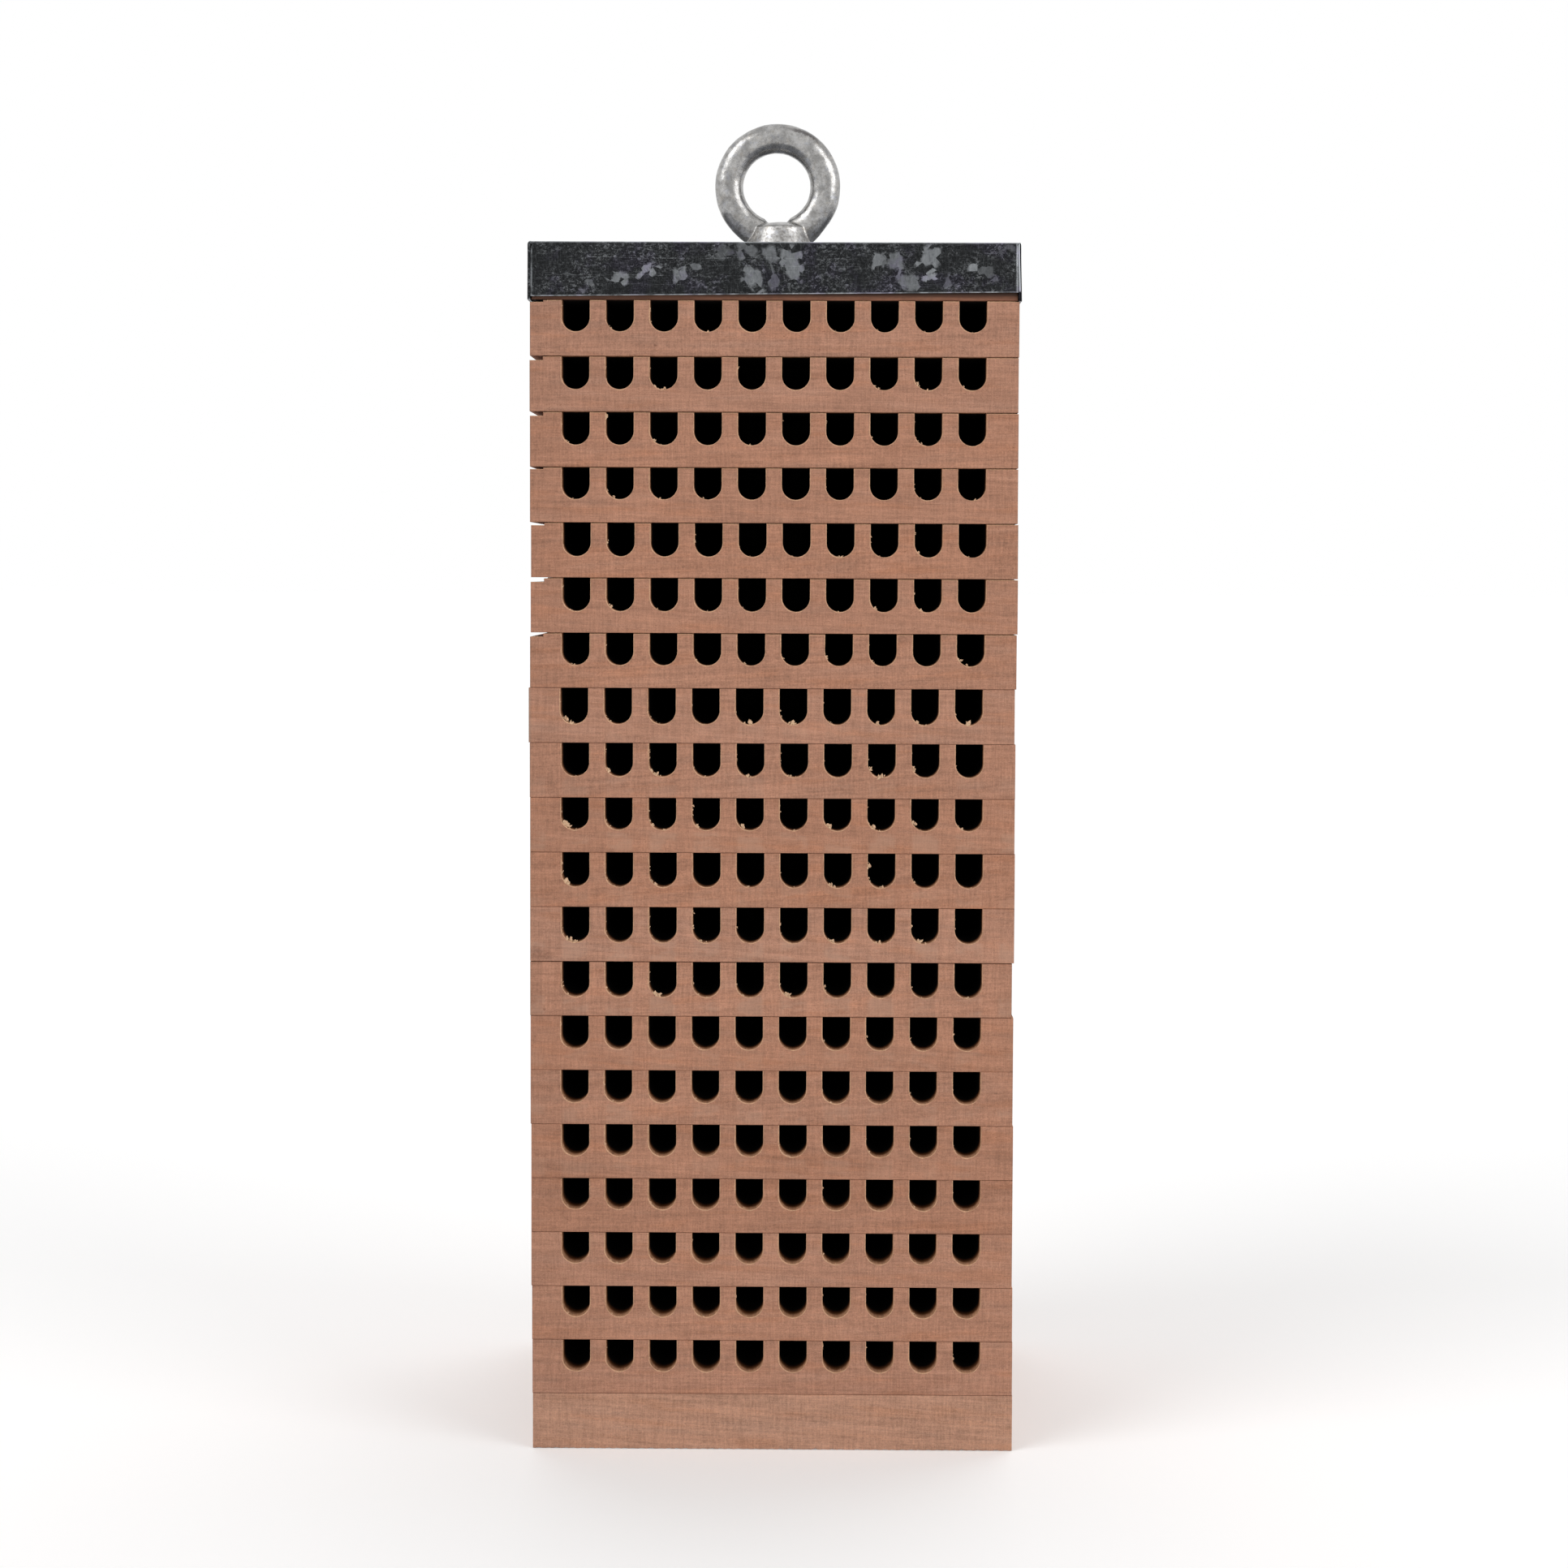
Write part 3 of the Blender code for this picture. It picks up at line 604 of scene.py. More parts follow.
def forged_zinc():
    """Bright zinc over forged steel: smooth ridges, dull hollows and a lap near the top right."""
    g = Graph("forged_zinc")
    at = g.position
    low, high = (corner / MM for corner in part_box("eye_nut"))
    dull = g.noise(at, 0.3)
    pits = g.noise(at, 1.3, 4.0, 0.6)
    grain = g.noise(at, 4.0, 3.0, 0.7)
    _, _, z = g.split(at)
    collar = g.ramp(z, low.z + 9.0, low.z + 7.6)
    grey = g.times(
        g.ramp(dull, 0.36, 0.64, 0.28, 0.44), g.ramp(collar, 0.0, 1.0, 1.0, 1.12),
        g.ramp(pits, 0.3, 0.6, 0.84, 1.04),
        g.ramp(grain, 0.25, 0.75, 0.9, 1.06),
    )
    warmth = g.noise(at, 0.5, 2.0, 0.6)
    shade = g.tint((1.0, 0.985, 0.965), grey)
    shade = g.mix(g.ramp(warmth, 0.55, 0.7, 0.0, 0.5), shade, g.tint((1.0, 0.93, 0.84), grey))
    shade = g.mix(g.ramp(warmth, 0.45, 0.3, 0.0, 0.5), shade, g.tint((0.93, 0.96, 1.06), grey))

    # The collar is rougher and dirtier than the ring
    dirt = g.times(g.ramp(pits, 0.56, 0.36), g.add(g.times(collar, 0.36), 0.1))
    shade = g.mix(dirt, shade, (0.14, 0.12, 0.105))

    # A dark lap in the forging runs along the outer edge at the upper right
    centre = (0.0, 0.0, high.z - (high.x - low.x) / 2)
    from_centre = g.vector("SUBTRACT", at, centre)
    ring_x, ring_y, ring_z = g.split(from_centre)
    angle = g.math("ARCTAN2", ring_z, ring_x)
    radius = g.vector("LENGTH", g.join(ring_x, 0.0, ring_z))
    along = g.ramp(angle, radians(78), radians(50), 17.7, 18.4)
    off = g.math("ABSOLUTE", g.math("SUBTRACT", radius, g.add(along, g.swing(pits, 0.5))))
    lap = g.times(g.ramp(off, 0.75, 0.25), g.ramp(ring_y, 0.5, -0.5))
    lap = g.times(lap, g.ramp(angle, radians(44), radians(54)), g.ramp(angle, radians(82), radians(70)))
    shade = g.mix(g.times(lap, 0.75), shade, (0.07, 0.06, 0.06))

    normal = g.bump(pits, 0.17, 0.00022)
    normal = g.bump(grain, 0.12, 0.00006, normal)
    rough = g.add(g.ramp(pits, 0.3, 0.7, 0.32, 0.23), g.times(collar, 0.08))
    return g.finish(shade, rough, 1.0, normal)


def plated_steel():
    g = Graph("plated_steel")
    film = g.noise(g.position, 0.5)
    lines = g.noise(g.position, (0.6, 0.6, 9.0), 2.0)
    shade = g.tint((1.0, 0.99, 0.95), g.ramp(film, 0.3, 0.7, 0.32, 0.42))
    return g.finish(shade, g.ramp(film, 0.3, 0.7, 0.24, 0.38), 1.0, g.bump(lines, 0.15, 0.00005))


def add_object(name, data):
    made = bpy.data.objects.new(name, data)
    bpy.context.scene.collection.objects.link(made)
    return made


def new_object(name, builder, materials):
    bmesh.ops.recalc_face_normals(builder, faces=builder.faces)
    mesh = bpy.data.meshes.new(name)
    builder.to_mesh(mesh)
    builder.free()
    for material in materials:
        mesh.materials.append(material)
    return add_object(name, mesh)


def apply_modifiers(made):
    evaluated = made.evaluated_get(bpy.context.evaluated_depsgraph_get())
    mesh = bpy.data.meshes.new_from_object(evaluated)
    made.modifiers.clear()
    old = made.data
    made.data = mesh
    bpy.data.meshes.remove(old)


def boolean(target, tool, operation="DIFFERENCE"):
    cut = target.modifiers.new("cut", "BOOLEAN")
    cut.operation = operation
    cut.solver = "EXACT"
    cut.object = tool
    apply_modifiers(target)
    bpy.data.objects.remove(tool, do_unlink=True)


def place_piece(made, node, sharp_angle):
    made.data.shade_smooth()
    made.data.set_sharp_from_angle(angle=radians(sharp_angle))
    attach(made, "root")
    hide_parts(node)


def join_loops(builder, near, far, material=0):
    """A closed strip of faces between two closed loops of vertices."""
    for i in range(len(near)):
        j = (i + 1) % len(near)
        builder.faces.new((near[i], near[j], far[j], far[i])).material_index = material


def loft(builder, rings, bands=None):
    """Join closed rings of equal length and close both ends. Bands gives a material to each."""
    loops = [[builder.verts.new(point) for point in ring] for ring in rings]
    bands = bands or (0,) * (len(rings) - 1)
    for near, far, material in zip(loops, loops[1:], bands):
        join_loops(builder, near, far, material)
    builder.faces.new(loops[0]).material_index = bands[0]
    builder.faces.new(loops[-1]).material_index = bands[-1]


def lofted(name, rings, materials, bands=None):
    builder = bmesh.new()
    loft(builder, rings, bands)
    return new_object(name, builder, materials)


def turn_profile(name, profile, steps, material):
    """Turn a closed profile of radii and heights about the upright axis."""
    builder = bmesh.new()
    loops = []
    for step in range(steps):
        angle = 2 * pi * step / steps
        loops.append([builder.verts.new((r * cos(angle), r * sin(angle), z)) for r, z in profile])
    for step in range(steps):
        join_loops(builder, loops[step], loops[(step + 1) % steps])
    return new_object(name, builder, (material,))


def prism(name, radius, low, high, steps, materials, across=0.0, first=0.0, material=0):
    """An upright prism of so many sides, whose first corner lies at an angle."""
    angles = [first + 2 * pi * i / steps for i in range(steps)]
    corners = [(across + radius * cos(angle), radius * sin(angle)) for angle in angles]
    rings = [[(x, y, z) for x, y in corners] for z in (low, high)]
    return lofted(name, rings, materials, (material,))


def drill(target, radius, low, high, steps=64, across=0.0, material=0):
    """Cut a round upright hole."""
    materials = target.data.materials
    boolean(target, prism("drill", radius, low, high, steps, materials, across, 0.0, material))


def spaced(start, end, count):
    return [start + (end - start) * i / count for i in range(count + 1)]


def board_outline(low, high, inset, top, raised, rebate, columns):
    """Section of a board: its lower edge, its upper edge with the raised seat, and a rebate."""
    left, right = low.x + inset, high.x - inset
    points = [(x, low.z + inset) for x in spaced(left, right, columns)]
    land = left if rebate is None else low.x + REBATE_WIDTH + inset
    points += [(right, top - inset), (right - SEAM_DEPTH, top - inset)]
    seat = spaced(right - SEAM_DEPTH - SEAM_SLOPE, land + SEAM_DEPTH + SEAM_SLOPE, columns)
    points += [(x, raised) for x in seat]
    points += [(land + SEAM_DEPTH, top - inset), (land, top - inset)]
    if rebate is not None:
        points += [(land, high.z - rebate - inset), (left, high.z - rebate - inset)]
    return points


def make_board(name, corners, materials, joint, seed, rebate=None, columns=56, wave=0.0):
    """A board with fine chamfers that reaches up to its neighbour behind the open joint."""
    low, high = corners
    top = high.z + SEAT_GAP - joint
    seat = high.z + SEAT_GAP - CONTACT_GAP
    depth = high.y - low.y
    stations = [
        (0.0, EDGE, False), (EDGE, 0.0, False), (SEAM_DEPTH, 0.0, False),
        (SEAM_DEPTH + SEAM_SLOPE, 0.0, True),
    ]
    stations += [(depth - back, inset, raised) for back, inset, raised in reversed(stations)]
    rings = []
    for from_front, inset, raised in stations:
        level = seat if raised else top - inset
        ring = []
        for x, z in board_outline(low, high, inset, top, level, rebate, columns):
            y = low.y + from_front
            if z < low.z + MM and from_front < SAW_WAVE_DEPTH:
                drift = 2.0 * noise.noise(Vector((x * 90, seed, 0.0)))
                lift = 0.5 + 0.5 * sin(x / SAW_WAVE_RADIAN + drift)
                z += wave * lift * (0.7 + noise.noise(Vector((x * 420, seed, 0.0))))
            if from_front in (0.0, depth):
                z += EDGE_SHAKE * noise.noise(Vector((x * 700, seed * 7.3, z * 700)))
            ring.append((x, y, z))
        rings.append(ring)
    return lofted(name, rings, materials)


def groove_ring(across, top, floor, y, grow, seed):
    """One section of a groove's cutter, its mouth torn a little wider at the left and bottom."""
    middle = floor + GROOVE_RADIUS
    side = [top - (top - middle) * i / GROOVE_SIDE_STEPS for i in range(GROOVE_SIDE_STEPS)]
    arc = [pi + pi * i / GROOVE_ARC_STEPS for i in range(GROOVE_ARC_STEPS + 1)]
    outline = [(-GROOVE_RADIUS, z, -1.0, 0.0) for z in side]
    outline += [(GROOVE_RADIUS * cos(a), middle + GROOVE_RADIUS * sin(a), cos(a), sin(a)) for a in arc]
    outline += [(GROOVE_RADIUS, z, 1.0, 0.0) for z in reversed(side)]
    ring = []
    for x, z, out_x, out_z in outline:
        torn = 1.0 + 0.5 * max(0.0, -out_x - out_z * 0.8)
        coarse = noise.noise(Vector((x * 600 + seed, seed * 1.7, z * 600)))
        fine = noise.noise(Vector((x * 1600 + seed * 3.1, y * 300 + seed, z * 1600)))
        amount = grow * torn * (1.0 + 0.9 * coarse) + 0.00003 * fine
        ring.append((across + x + out_x * amount, y, z + out_z * amount))
    above = top + 2 * MM
    return ring + [(ring[-1][0], y, above), (ring[0][0], y, above)]


def cut_grooves(tray, number, shift, top, floor):
    builder = bmesh.new()
    for groove in range(1, GROOVE_COUNT + 1):
        across = groove_across(groove)
        end = MIDDLE_GROOVE_END if abs(across) < GROOVE_PITCH else GROOVE_END
        stations = (
            (FRONT - MM, TORN_RIM), (FRONT, TORN_RIM), (FRONT + TORN_RIM, 0.0),
            (FRONT + 4 * MM, 0.0), (end, 0.0),
        )
        seed = number * 13 + groove
        rings = [groove_ring(across + shift, top, floor, y, grow, seed) for y, grow in stations]
        loft(builder, rings, (RIM, RIM, TUNNEL, TUNNEL))
    boolean(tray, new_object("grooves", builder, tray.data.materials))


def groove_across(groove):
    return (groove - (GROOVE_COUNT + 1) / 2) * GROOVE_PITCH


def add_crumb(builder, centre, size, dice):
    """A ragged crumb of torn fibre, longer than it is wide."""
    made = bmesh.ops.create_icosphere(builder, subdivisions=2, radius=1.0)
    turn = Matrix.Rotation(dice.uniform(-0.9, 1.1), 3, "Y")
    stretch = (dice.uniform(0.17, 0.3), dice.uniform(0.14, 0.22), dice.uniform(0.3, 0.52))
    seed = Vector((dice.uniform(0, 50), dice.uniform(0, 50), dice.uniform(0, 50)))
    for vert in made["verts"]:
        rough = 1.0 + 0.75 * noise.noise(vert.co * 1.6 + seed)
        shape = Vector([part * size * length * rough for part, length in zip(vert.co, stretch)])
        vert.co = centre + turn @ shape
        vert.co.y = max(vert.co.y, FRONT - 0.0003)
        for face in vert.link_faces:
            face.material_index = CHIP


def mouth_point(angle, left, middle):
    """A point on the rim of a tunnel's mouth and the direction into the opening."""
    if angle < 180:
        return Vector((left, FRONT, middle + (180 - angle) * 0.0001)), Vector((1.0, 0.0, 0.0))
    turn = radians(angle)
    outward = Vector((cos(turn), 0.0, sin(turn)))
    return Vector((left + GROOVE_RADIUS, FRONT, middle)) + outward * GROOVE_RADIUS, -outward


def add_splinters(tray, number, shift, floor):
    dice = random.Random(1000 + number)
    marks = [(groove, angle, tenths / 10) for groove, angle, tenths in SPLINTERS.get(number, ())]
    busy = BUSY_TRAYS[0] <= number <= BUSY_TRAYS[1]
    for _ in range(BUSY_TRAY_SPLINTERS if busy else SMALL_SPLINTERS):
        groove = dice.randint(1, GROOVE_COUNT)
        marks.append((groove, dice.uniform(*SMALL_SPLINTER_PLACES), dice.uniform(*SMALL_SPLINTER_LENGTHS)))
    builder = bmesh.new()
    builder.from_mesh(tray.data)
    for groove, angle, length in marks:
        left = groove_across(groove) + shift - GROOVE_RADIUS
        size = CRUMB_SCALE * length * MM
        for _ in range(max(1, round(length * CRUMBS_A_MILLIMETRE))):
            spread = dice.uniform(-7, 7) * length
            rim, inward = mouth_point(angle + spread, left, floor + GROOVE_RADIUS)
            centre = rim + inward * size * dice.uniform(-0.1, 0.42)
            centre.y += dice.uniform(0.0001, 0.0006)
            add_crumb(builder, centre, size * dice.uniform(0.45, 1.0), dice)
    builder.to_mesh(tray.data)
    builder.free()


def make_tray(number, rim, chip):
    node = f"tray_{number:02d}"
    low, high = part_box(node)
    shade = TRAY_SHADE.get(number, 1.0)
    warmth = TRAY_WARMTH.get(number, 0.0)
    colour = scaled(TRAY_COLOUR, shade, shade * (1.0 - 0.028 * warmth), shade * (1.0 - 0.055 * warmth))
    seed = number * 1.37
    painted_light_length = PAINTED_LIGHT_LENGTH.get(number, UPPER_PAINTED_LIGHT_LENGTH)
    materials = (
        wood(f"tray_wood_{number:02d}", colour, seed, number), rim,
        wood(f"tunnel_painted_shade_wood_{number:02d}", colour, seed, None, painted_light_length), chip,
    )
    upper = number <= UPPER_TRAYS
    joint = JOINT_ABOVE.get(number, OPEN_JOINT if upper else CLOSED_JOINT)
    trim = TRAY_TRIM.get(number, LOWER_TRIM if number >= FIRST_LOWER_TRAY else TRIM)
    rise = COVER_LIFT if number == 1 else 0.0
    corners = (low + Vector((trim[0], 0.0, 0.0)), high + Vector((-trim[1], 0.0, rise)))
    rebate = None if number not in REBATE_DEPTH else REBATE_DEPTH[number] + rise
    tray = make_board(f"visual_{node}", corners, materials, joint, seed, rebate)

    # The underside roofs the tunnels below and takes their painted light and shade, and the upper trays
    # have a paler upper edge in front
    for face in tray.data.polygons:
        if abs(face.normal.z) > 0.9 and face.center.x > low.x + REBATE_WIDTH + MM:
            face.material_index = TUNNEL
        elif upper and face.normal.y < -0.3 and face.normal.z > 0.3:
            face.material_index = RIM

    floor = high.z - TRAY_THICKNESS + GROOVE_FLOOR - DEEPER_GROOVES.get(number, 0.0)
    middle = (low.x + high.x) / 2
    cut_grooves(tray, number, middle, corners[1].z, floor)
    drill(tray, ROD_HOLE_RADIUS, low.z - MM, high.z + MM, 40, middle, TUNNEL)
    add_splinters(tray, number, middle, floor)
    place_piece(tray, node, 40)


def make_base_board():
    low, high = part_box("base_board")
    washer_low, washer_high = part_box("base_washer")
    face = wood("base_wood", BASE_COLOUR, 3.3)
    middle = (low.x + high.x) / 2
    trimmed = low + Vector((BASE_TRIM, 0.0, 0.0))
    base = make_board("visual_base_board", (trimmed, high), (face,), CLOSED_JOINT, 9.1, None,
                      BASE_COLUMNS, SAW_WAVE_HEIGHT)
    drill(base, ROD_HOLE_RADIUS, low.z - MM, high.z + MM, 48, middle)
    drill(base, (washer_high.x - washer_low.x) / 2 + MM, low.z - MM, washer_high.z + SEAT_GAP, 96, middle)
    place_piece(base, "base_board", 30)


def make_cover_board():
    low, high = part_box("cover_board")
    lifted = low + Vector((0.0, 0.0, COVER_LIFT))
    cover = make_board("visual_cover_board", (lifted, high), (cover_wood(),), OPEN_JOINT, 4.4)
    drill(cover, ROD_HOLE_RADIUS, low.z - MM, high.z + MM, 48)
    place_piece(cover, "cover_board", 30)


def flange_profile(edge, top, bottom):
    """Way out, height and painted highlight down a flange, over the bend to the cut edge."""
    profile = []
    for step in range(BEND_STEPS + 1):
        angle = pi / 2 * step / BEND_STEPS
        out = edge + BEND_MIDDLE_RADIUS * sin(angle)
        down = top - BEND_MIDDLE_RADIUS * (1 - cos(angle))
        profile.append((out, down, 0.9 * max(0.0, 1.0 - angle / radians(60))))
    out = edge + BEND_MIDDLE_RADIUS
    heights = spaced(top - BEND_MIDDLE_RADIUS - 0.8 * MM, bottom + 0.7 * MM, 6)
    profile += [(out, z, 0.0) for z in heights]
    profile += [(out, bottom + 0.35 * MM, 0.0), (out, bottom + 0.2 * MM, 0.8), (out, bottom, 0.8)]
    return profile


def dent(x, y, z):
    """How far the thin sheet gives inwards at a place."""
    return DENT_DEPTH * abs(noise.noise(Vector((x * 38, y * 38, z * 38 + 9.0))))


def strip_faces(builder, rows):
    for near, far in zip(rows, rows[1:]):
        for i in range(len(near) - 1):
            builder.faces.new((near[i], near[i + 1], far[i + 1], far[i]))


def make_cap():
    low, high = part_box("cap")
    half = SHEET / 2
    top = high.z - half
    plate_x = high.x - half - BEND_MIDDLE_RADIUS
    plate_y = high.y - half - BEND_MIDDLE_RADIUS
    builder = bmesh.new()
    # Each vertex carries the strength of the painted highlight
    highlight_layer = builder.verts.layers.float.new("edge_highlight")

    def vert(x, y, z, edge_highlight=0.0):
        made = builder.verts.new((x, y, z))
        made[highlight_layer] = edge_highlight
        return made

    # Top plate, slightly dished between its edges. A slit at each corner frees the flanges
    slit = plate_x - CORNER_SLIT
    middle = spaced(1.2 * MM - slit, slit - 1.2 * MM, CAP_CELLS)
    stations = [-slit, 0.2 * MM - slit] + middle + [slit - 0.5 * MM, slit - 0.2 * MM, slit]
    columns = [-plate_x] + stations + [plate_x]
    rows = spaced(-plate_y, plate_y, CAP_CELLS)
    plate = []
    for y in rows:
        # Vertices along the plate's bent edge carry painted highlight
        inside = [abs(x) < plate_x and abs(y) < plate_y - 0.01 * MM for x in columns]
        plate.append([vert(x, y, top - (dent(x, y, top) if free else 0.0), 0.0 if free else 0.9)
                      for x, free in zip(columns, inside)])
    strip_faces(builder, plate)

    # Side flanges run the whole depth. The right one leans out towards its lower edge
    ends = [-high.y, -high.y + 0.4 * MM] + rows + [high.y - 0.4 * MM, high.y]
    for side, lean in zip((-1, 1), SIDE_LEAN):
        strips = []
        for y in ends:
            strip = []
            for out, z, edge_highlight in flange_profile(plate_x, top, low.z):
                inwards = lean * (z - low.z) / (top - low.z) * (out - plate_x) / BEND_MIDDLE_RADIUS
                inwards += dent(side * out, y, z) if z < top - 2 * MM else 0.0
                strip.append(vert(side * (out - inwards), y, z, edge_highlight))
            strips.append(strip)
        strip_faces(builder, strips)

    # Front and back flanges end just inside the side flanges, with painted highlights on their ends
    for side, (left_rise, right_rise) in ((-1, FRONT_LIP_RISE), (1, BACK_LIP_RISE)):
        strips = []
        for index, x in enumerate(stations):
            share = (x + plate_x) / (2 * plate_x)
            bottom = low.z + left_rise + (right_rise - left_rise) * share
            at_end = index in (0, len(stations) - 1)
            end_highlight = 0.6 if index == 0 else 1.0 if index >= len(stations) - 2 else 0.0
            strip = []
            for out, z, edge_highlight in flange_profile(plate_y, top, bottom):
                below_bend = min(1.0, max(0.0, (top - BEND_MIDDLE_RADIUS - z) / MM))
                lean = SIDE_LEAN[x > 0] * (z - low.z) / (top - low.z)
                reach = (CORNER_SLIT + BEND_MIDDLE_RADIUS - half - CORNER_GAP - lean) * below_bend
                across = x + (reach if x > 0 else -reach) if at_end else x
                inwards = 0.0 if at_end or z > top - 2 * MM else dent(x, side * out, z)
                if side < 0 and index == len(stations) - 1:
                    inwards = RIGHT_END_TURN * below_bend
                strip.append(vert(across, side * (out - inwards), z, max(edge_highlight, end_highlight)))
            strips.append(strip)
        strip_faces(builder, strips)
    bmesh.ops.remove_doubles(builder, verts=builder.verts, dist=0.000002)
    cap = new_object("visual_cap", builder, (zinc_sheet(),))
    thick = cap.modifiers.new("sheet", "SOLIDIFY")
    thick.thickness = SHEET
    thick.offset = 0.0
    thick.use_even_offset = True
    apply_modifiers(cap)
    drill(cap, ROD_HOLE_RADIUS, top - 2 * MM, top + 2 * MM)
    for vertex in cap.data.vertices:
        for axis in range(3):
            vertex.co[axis] = min(max(vertex.co[axis], low[axis]), high[axis])
    place_piece(cap, "cap", 45)


def eye_ring(centre_z, outer):
    """The eye: an oval section, a little squared, that swells where it meets the collar."""
    builder = bmesh.new()
    around, section = 160, 48
    squareness = 2.3
    loops = []
    for step in range(around):
        angle = 2 * pi * step / around
        swell = (1.1 + 0.9 * cos(angle)) * MM * max(0.0, (-sin(angle) - 0.62) / 0.38) ** 1.5
        inner = EYE_HOLE_RADIUS - EYE_HOLE_SHIFT * cos(angle)
        half_radial = (outer - inner + swell) / 2
        middle = inner + half_radial
        loop = []
        for turn in range(section):
            c, s = cos(2 * pi * turn / section), sin(2 * pi * turn / section)
            size = (abs(c) ** squareness + abs(s) ** squareness) ** (-1 / squareness)
            radius = middle + half_radial * c * size
            loop.append(builder.verts.new((radius * cos(angle), EYE_HALF_THICKNESS * s * size,
                                           centre_z + radius * sin(angle))))
        loops.append(loop)
    for step in range(around):
        join_loops(builder, loops[step], loops[(step + 1) % around])
    return builder


def eye_collar(seat, zinc):
    """The collar: a flared foot, a hollow flank and a bevelled top round the bore."""
    heights = (
        (0.2, 0.0), (9.8, 0.0), (10.3, 0.4), (10.4, 1.3), (10.3, 2.6), (9.8, 4.0), (9.2, 5.4),
        (8.7, 6.8), (8.4, 8.0), (8.2, 8.45), (7.8, 8.7), (6.2, 9.3), (4.3, 9.9), (0.2, 9.9),
    )
    collar = turn_profile("collar", [(r * MM, seat + h * MM) for r, h in heights], 96, zinc)
    for vertex in collar.data.vertices:
        vertex.co.x += COLLAR_LEAN * max(0.0, min(1.0, (vertex.co.z - seat) / (8 * MM)))
    return collar


def make_eye_nut():
    low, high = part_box("eye_nut")
    outer = (high.x - low.x) / 2 - 0.1 * MM
    centre_z = high.z - (high.x - low.x) / 2
    zinc = forged_zinc()
    eye = new_object("visual_eye_nut", eye_ring(centre_z, outer), (zinc,))
    boolean(eye, eye_collar(low.z, zinc), "UNION")
    drill(eye, EYE_BORE_RADIUS, low.z - MM, centre_z, 48)

    remesh = eye.modifiers.new("remesh", "REMESH")
    remesh.mode = "VOXEL"
    remesh.voxel_size = EYE_VOXEL
    smooth = eye.modifiers.new("smooth", "SMOOTH")
    smooth.factor = 0.5
    smooth.iterations = 4
    apply_modifiers(eye)

    # Forging leaves the surface slightly uneven
    builder = bmesh.new()
    builder.from_mesh(eye.data)
    builder.normal_update()
    for vert in builder.verts:
        at = vert.co / MM
        lump = 0.1 * noise.noise(at * 0.16) + 0.045 * noise.noise(at * 0.55 + Vector((4, 9, 2)))
        lump += 0.012 * noise.noise(at * 1.6 + Vector((14, 3, 22)))
        vert.co += vert.normal * min(lump, 0.09) * MM
        vert.co.z = min(max(vert.co.z, low.z), high.z)
    builder.to_mesh(eye.data)
    builder.free()
    place_piece(eye, "eye_nut", 180)


def make_washer(node, steel):
    low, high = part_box(node)
    outer = (high.x - low.x) / 2
    inner = ROD_RADIUS + NUT_CLEARANCE
    bevel = WASHER_BEVEL
    washer = turn_profile(f"visual_{node}", [
        (inner + bevel, high.z), (outer - bevel, high.z), (outer, high.z - bevel),
        (outer, low.z + bevel), (outer - bevel, low.z), (inner + bevel, low.z),
        (inner, low.z + bevel), (inner, high.z - bevel),
    ], 128, steel)
    place_piece(washer, node, 40)


def thread_radius(share):
    """Radius of a 60 degree thread with flat crest and root, for a share of one pitch."""
    ramp = abs(share * 2 - 1)
    return ROD_RADIUS - THREAD_DEPTH * min(1.0, max(0.0, (ramp - 0.12) / 0.7))


def make_rod(steel):
    low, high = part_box("threaded_rod")
    around, rows_a_turn = 20, 6
    length = high.z - low.z
    rows = ceil(length / THREAD_PITCH * rows_a_turn)
    rings = []
    for z in spaced(low.z, high.z, rows):
        run_out = min(1.0, (z - low.z) / (0.8 * MM), (high.z - z) / (0.8 * MM))
        limit = ROD_RADIUS - THREAD_DEPTH * (1 - run_out)
        ring = []
        for i in range(around):
            radius = min(limit, thread_radius((z / THREAD_PITCH - i / around) % 1.0))
            angle = 2 * pi * i / around
            ring.append((radius * cos(angle), radius * sin(angle), z))
        rings.append(ring)
    rod = lofted("visual_threaded_rod", rings, (steel,))
    place_piece(rod, "threaded_rod", 50)


def make_base_nut(steel):
    low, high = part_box("base_nut")
    corner_radius = max(high.x - low.x, high.y - low.y) / 2
    face_radius = corner_radius * cos(pi / 6)
    chamfer = (corner_radius - face_radius) * tan(radians(30))
    inner = ROD_RADIUS + NUT_CLEARANCE
    nut = turn_profile("visual_base_nut", [
        (inner, high.z - 0.4 * MM), (inner + 0.4 * MM, high.z), (face_radius - 0.2 * MM, high.z),
        (corner_radius, high.z - chamfer), (corner_radius, low.z + chamfer),
        (face_radius - 0.2 * MM, low.z), (inner + 0.4 * MM, low.z), (inner, low.z + 0.4 * MM),
    ], 96, steel)
    first = 0.0 if high.x - low.x > high.y - low.y else pi / 6
    flats = prism("flats", corner_radius, low.z - MM, high.z + MM, 6, (steel,), 0.0, first)
    boolean(nut, flats, "INTERSECT")
    place_piece(nut, "base_nut", 30)


def seen_or_mirrored(tree):
    """1 for rays from the camera and those that metal or glass sends on, and 0 for all others."""
    path = tree.nodes.new("ShaderNodeLightPath")
    seen = path.outputs["Is Camera Ray"]
    for kind in ("Is Glossy Ray", "Is Transmission Ray"):
        either = tree.nodes.new("ShaderNodeMath")
        either.operation = "MAXIMUM"
        tree.links.new(seen, either.inputs[0])
        tree.links.new(path.outputs[kind], either.inputs[1])
        seen = either.outputs[0]
    return seen


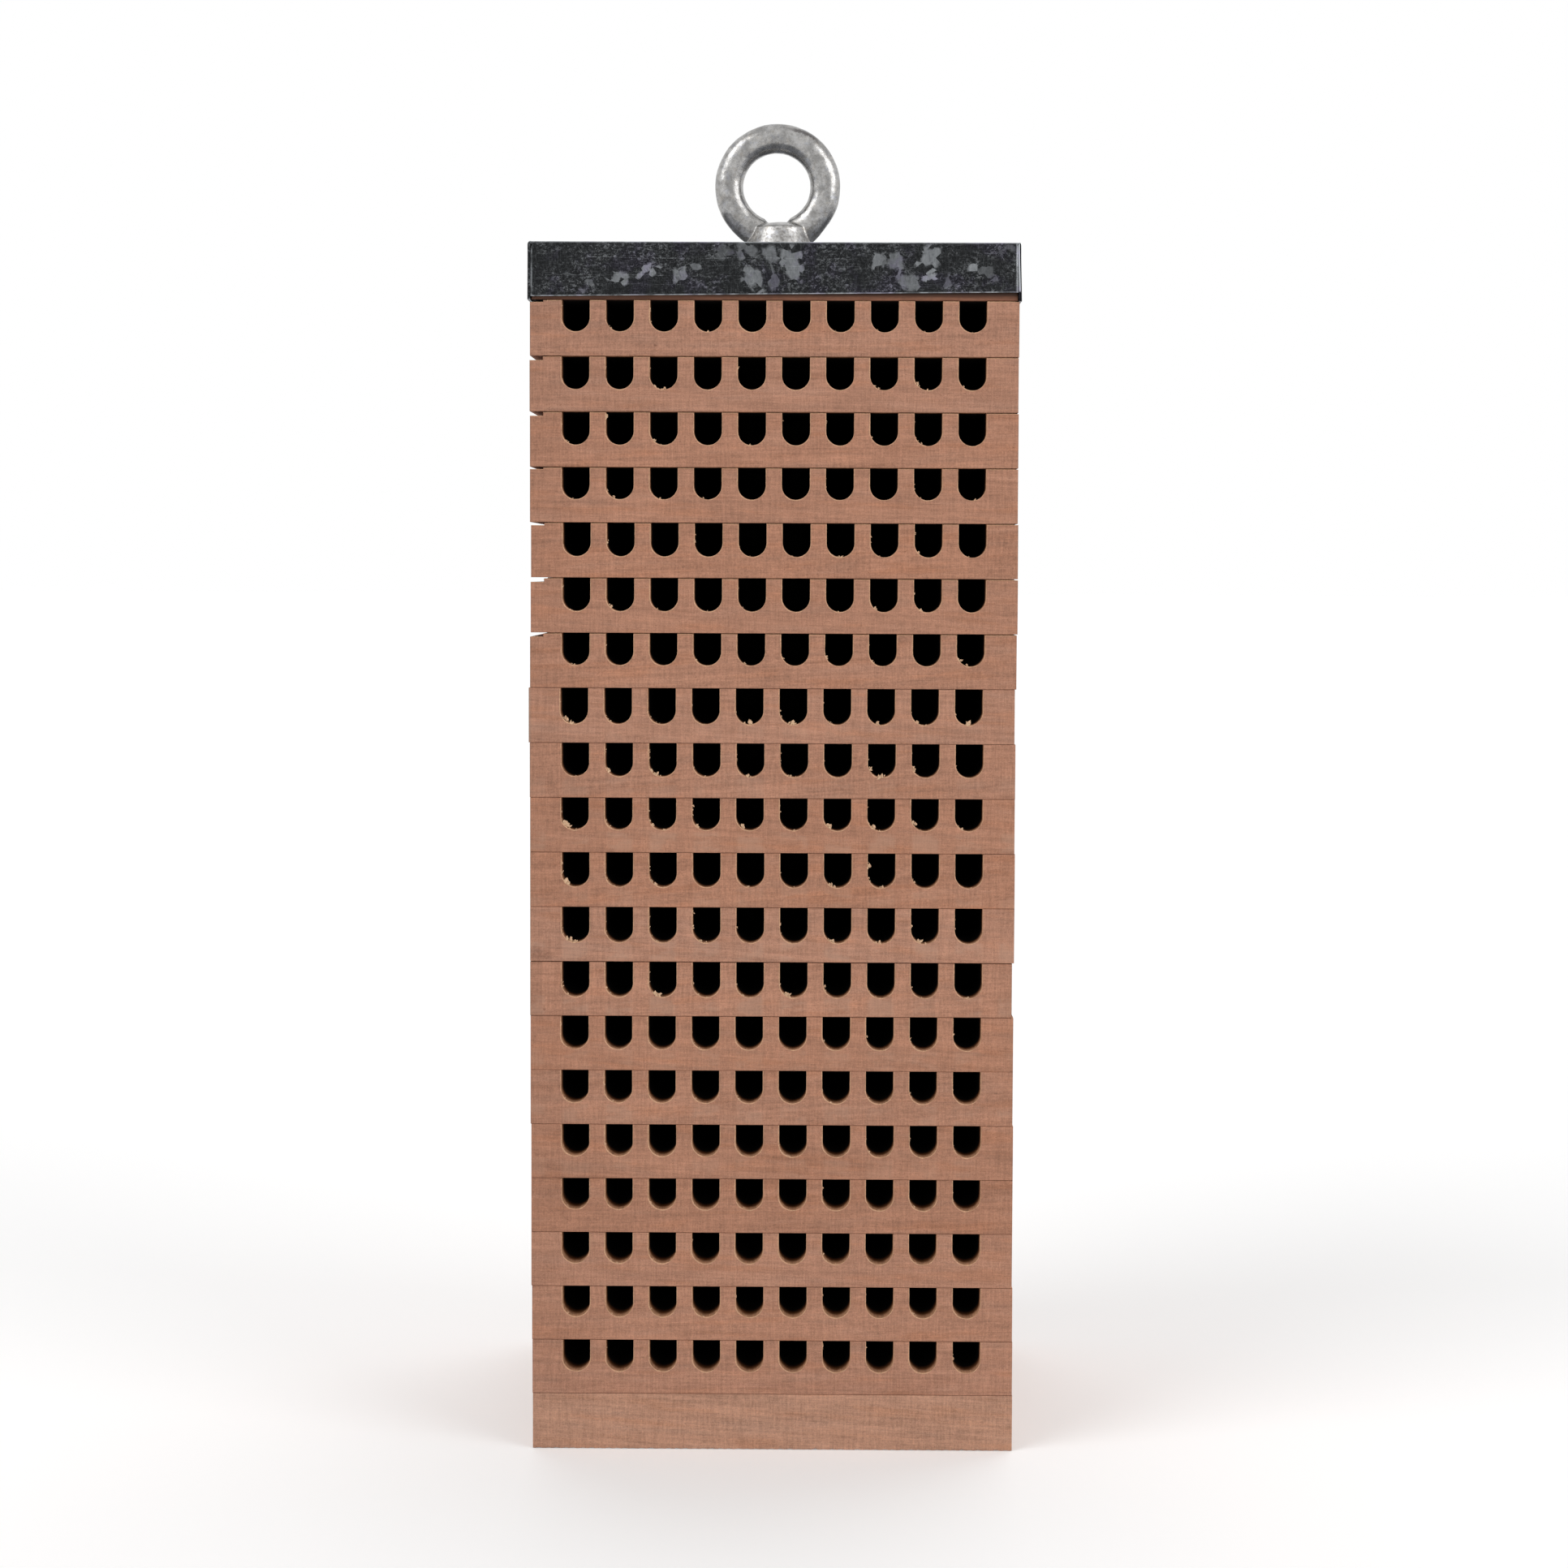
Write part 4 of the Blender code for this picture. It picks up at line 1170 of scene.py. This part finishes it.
def make_floor():
    g = Graph("floor")
    grey = (FLOOR_GREY, FLOOR_GREY, FLOOR_GREY)
    g.put_named(g.shader, {"Base Color": grey, "Roughness": 1.0, "Specular IOR Level": 0.0})
    glow = g.node("ShaderNodeEmission")
    g.put(glow.inputs["Strength"], g.times(seen_or_mirrored(g.tree), FLOOR_GLOW))
    both = g.fill(g.node("ShaderNodeAddShader"), g.shader.outputs[0], glow.outputs[0])
    g.put(g.tree.nodes["Material Output"].inputs["Surface"], both)
    builder = bmesh.new()
    corners = [(x * FLOOR_HALF_SIZE, y * FLOOR_HALF_SIZE, FLOOR_LEVEL)
               for x, y in ((-1, -1), (1, -1), (1, 1), (-1, 1))]
    builder.faces.new([builder.verts.new(corner) for corner in corners])
    new_object("floor", builder, (g.material,))


def make_world():
    """White where the camera or metal sees it, and a weaker light for everything else."""
    world = bpy.data.worlds.new("studio")
    world.use_nodes = True
    bpy.context.scene.world = world
    tree = world.node_tree
    background = tree.nodes["Background"]
    background.inputs["Color"].default_value = (1.0, 1.0, 1.0, 1.0)
    level = tree.nodes.new("ShaderNodeMapRange")
    level.inputs["To Min"].default_value = WORLD_STRENGTH
    level.inputs["To Max"].default_value = 1.0
    tree.links.new(seen_or_mirrored(tree), level.inputs["Value"])
    tree.links.new(level.outputs[0], background.inputs["Strength"])


def make_sun(name, azimuth, elevation, width, strength):
    """A wide soft lamp."""
    data = bpy.data.lights.new(name, "SUN")
    data.energy = strength * pi
    data.angle = radians(width)
    lamp = add_object(name, data)
    lamp.rotation_euler = (radians(90 - elevation), 0.0, radians(azimuth))
    return lamp


def make_camera():
    data = bpy.data.cameras.new("camera")
    data.lens = FOCAL_PIXELS / PICTURE_PIXELS * data.sensor_width
    data.clip_start = 0.05
    data.clip_end = 200.0
    camera = add_object("camera", data)
    yaw, pitch, roll = (radians(angle) for angle in CAMERA_TURN)
    turn = Matrix.Rotation(yaw, 4, "Z") @ Matrix.Rotation(pi / 2 + pitch, 4, "X")
    turn = turn @ Matrix.Rotation(roll, 4, "Z")
    camera.matrix_world = Matrix.Translation(CAMERA_PLACE) @ turn
    bpy.context.scene.camera = camera


def build():
    make_camera()
    rim = torn_wood("rim_wood", RIM_COLOUR)
    chip = torn_wood("chip_wood", CHIP_COLOUR)
    for number in range(1, TRAY_COUNT + 1):
        make_tray(number, rim, chip)
    make_base_board()
    make_cover_board()
    make_cap()
    make_eye_nut()
    steel = plated_steel()
    make_washer("top_washer", steel)
    make_washer("base_washer", steel)
    make_rod(steel)
    make_base_nut(steel)
    make_floor()
    make_world()
    lamps = {name: make_sun(name, *values) for name, values in LAMPS.items()}
    lamps["back"].visible_glossy = False
    bpy.context.scene.view_settings.view_transform = "Standard"


build()
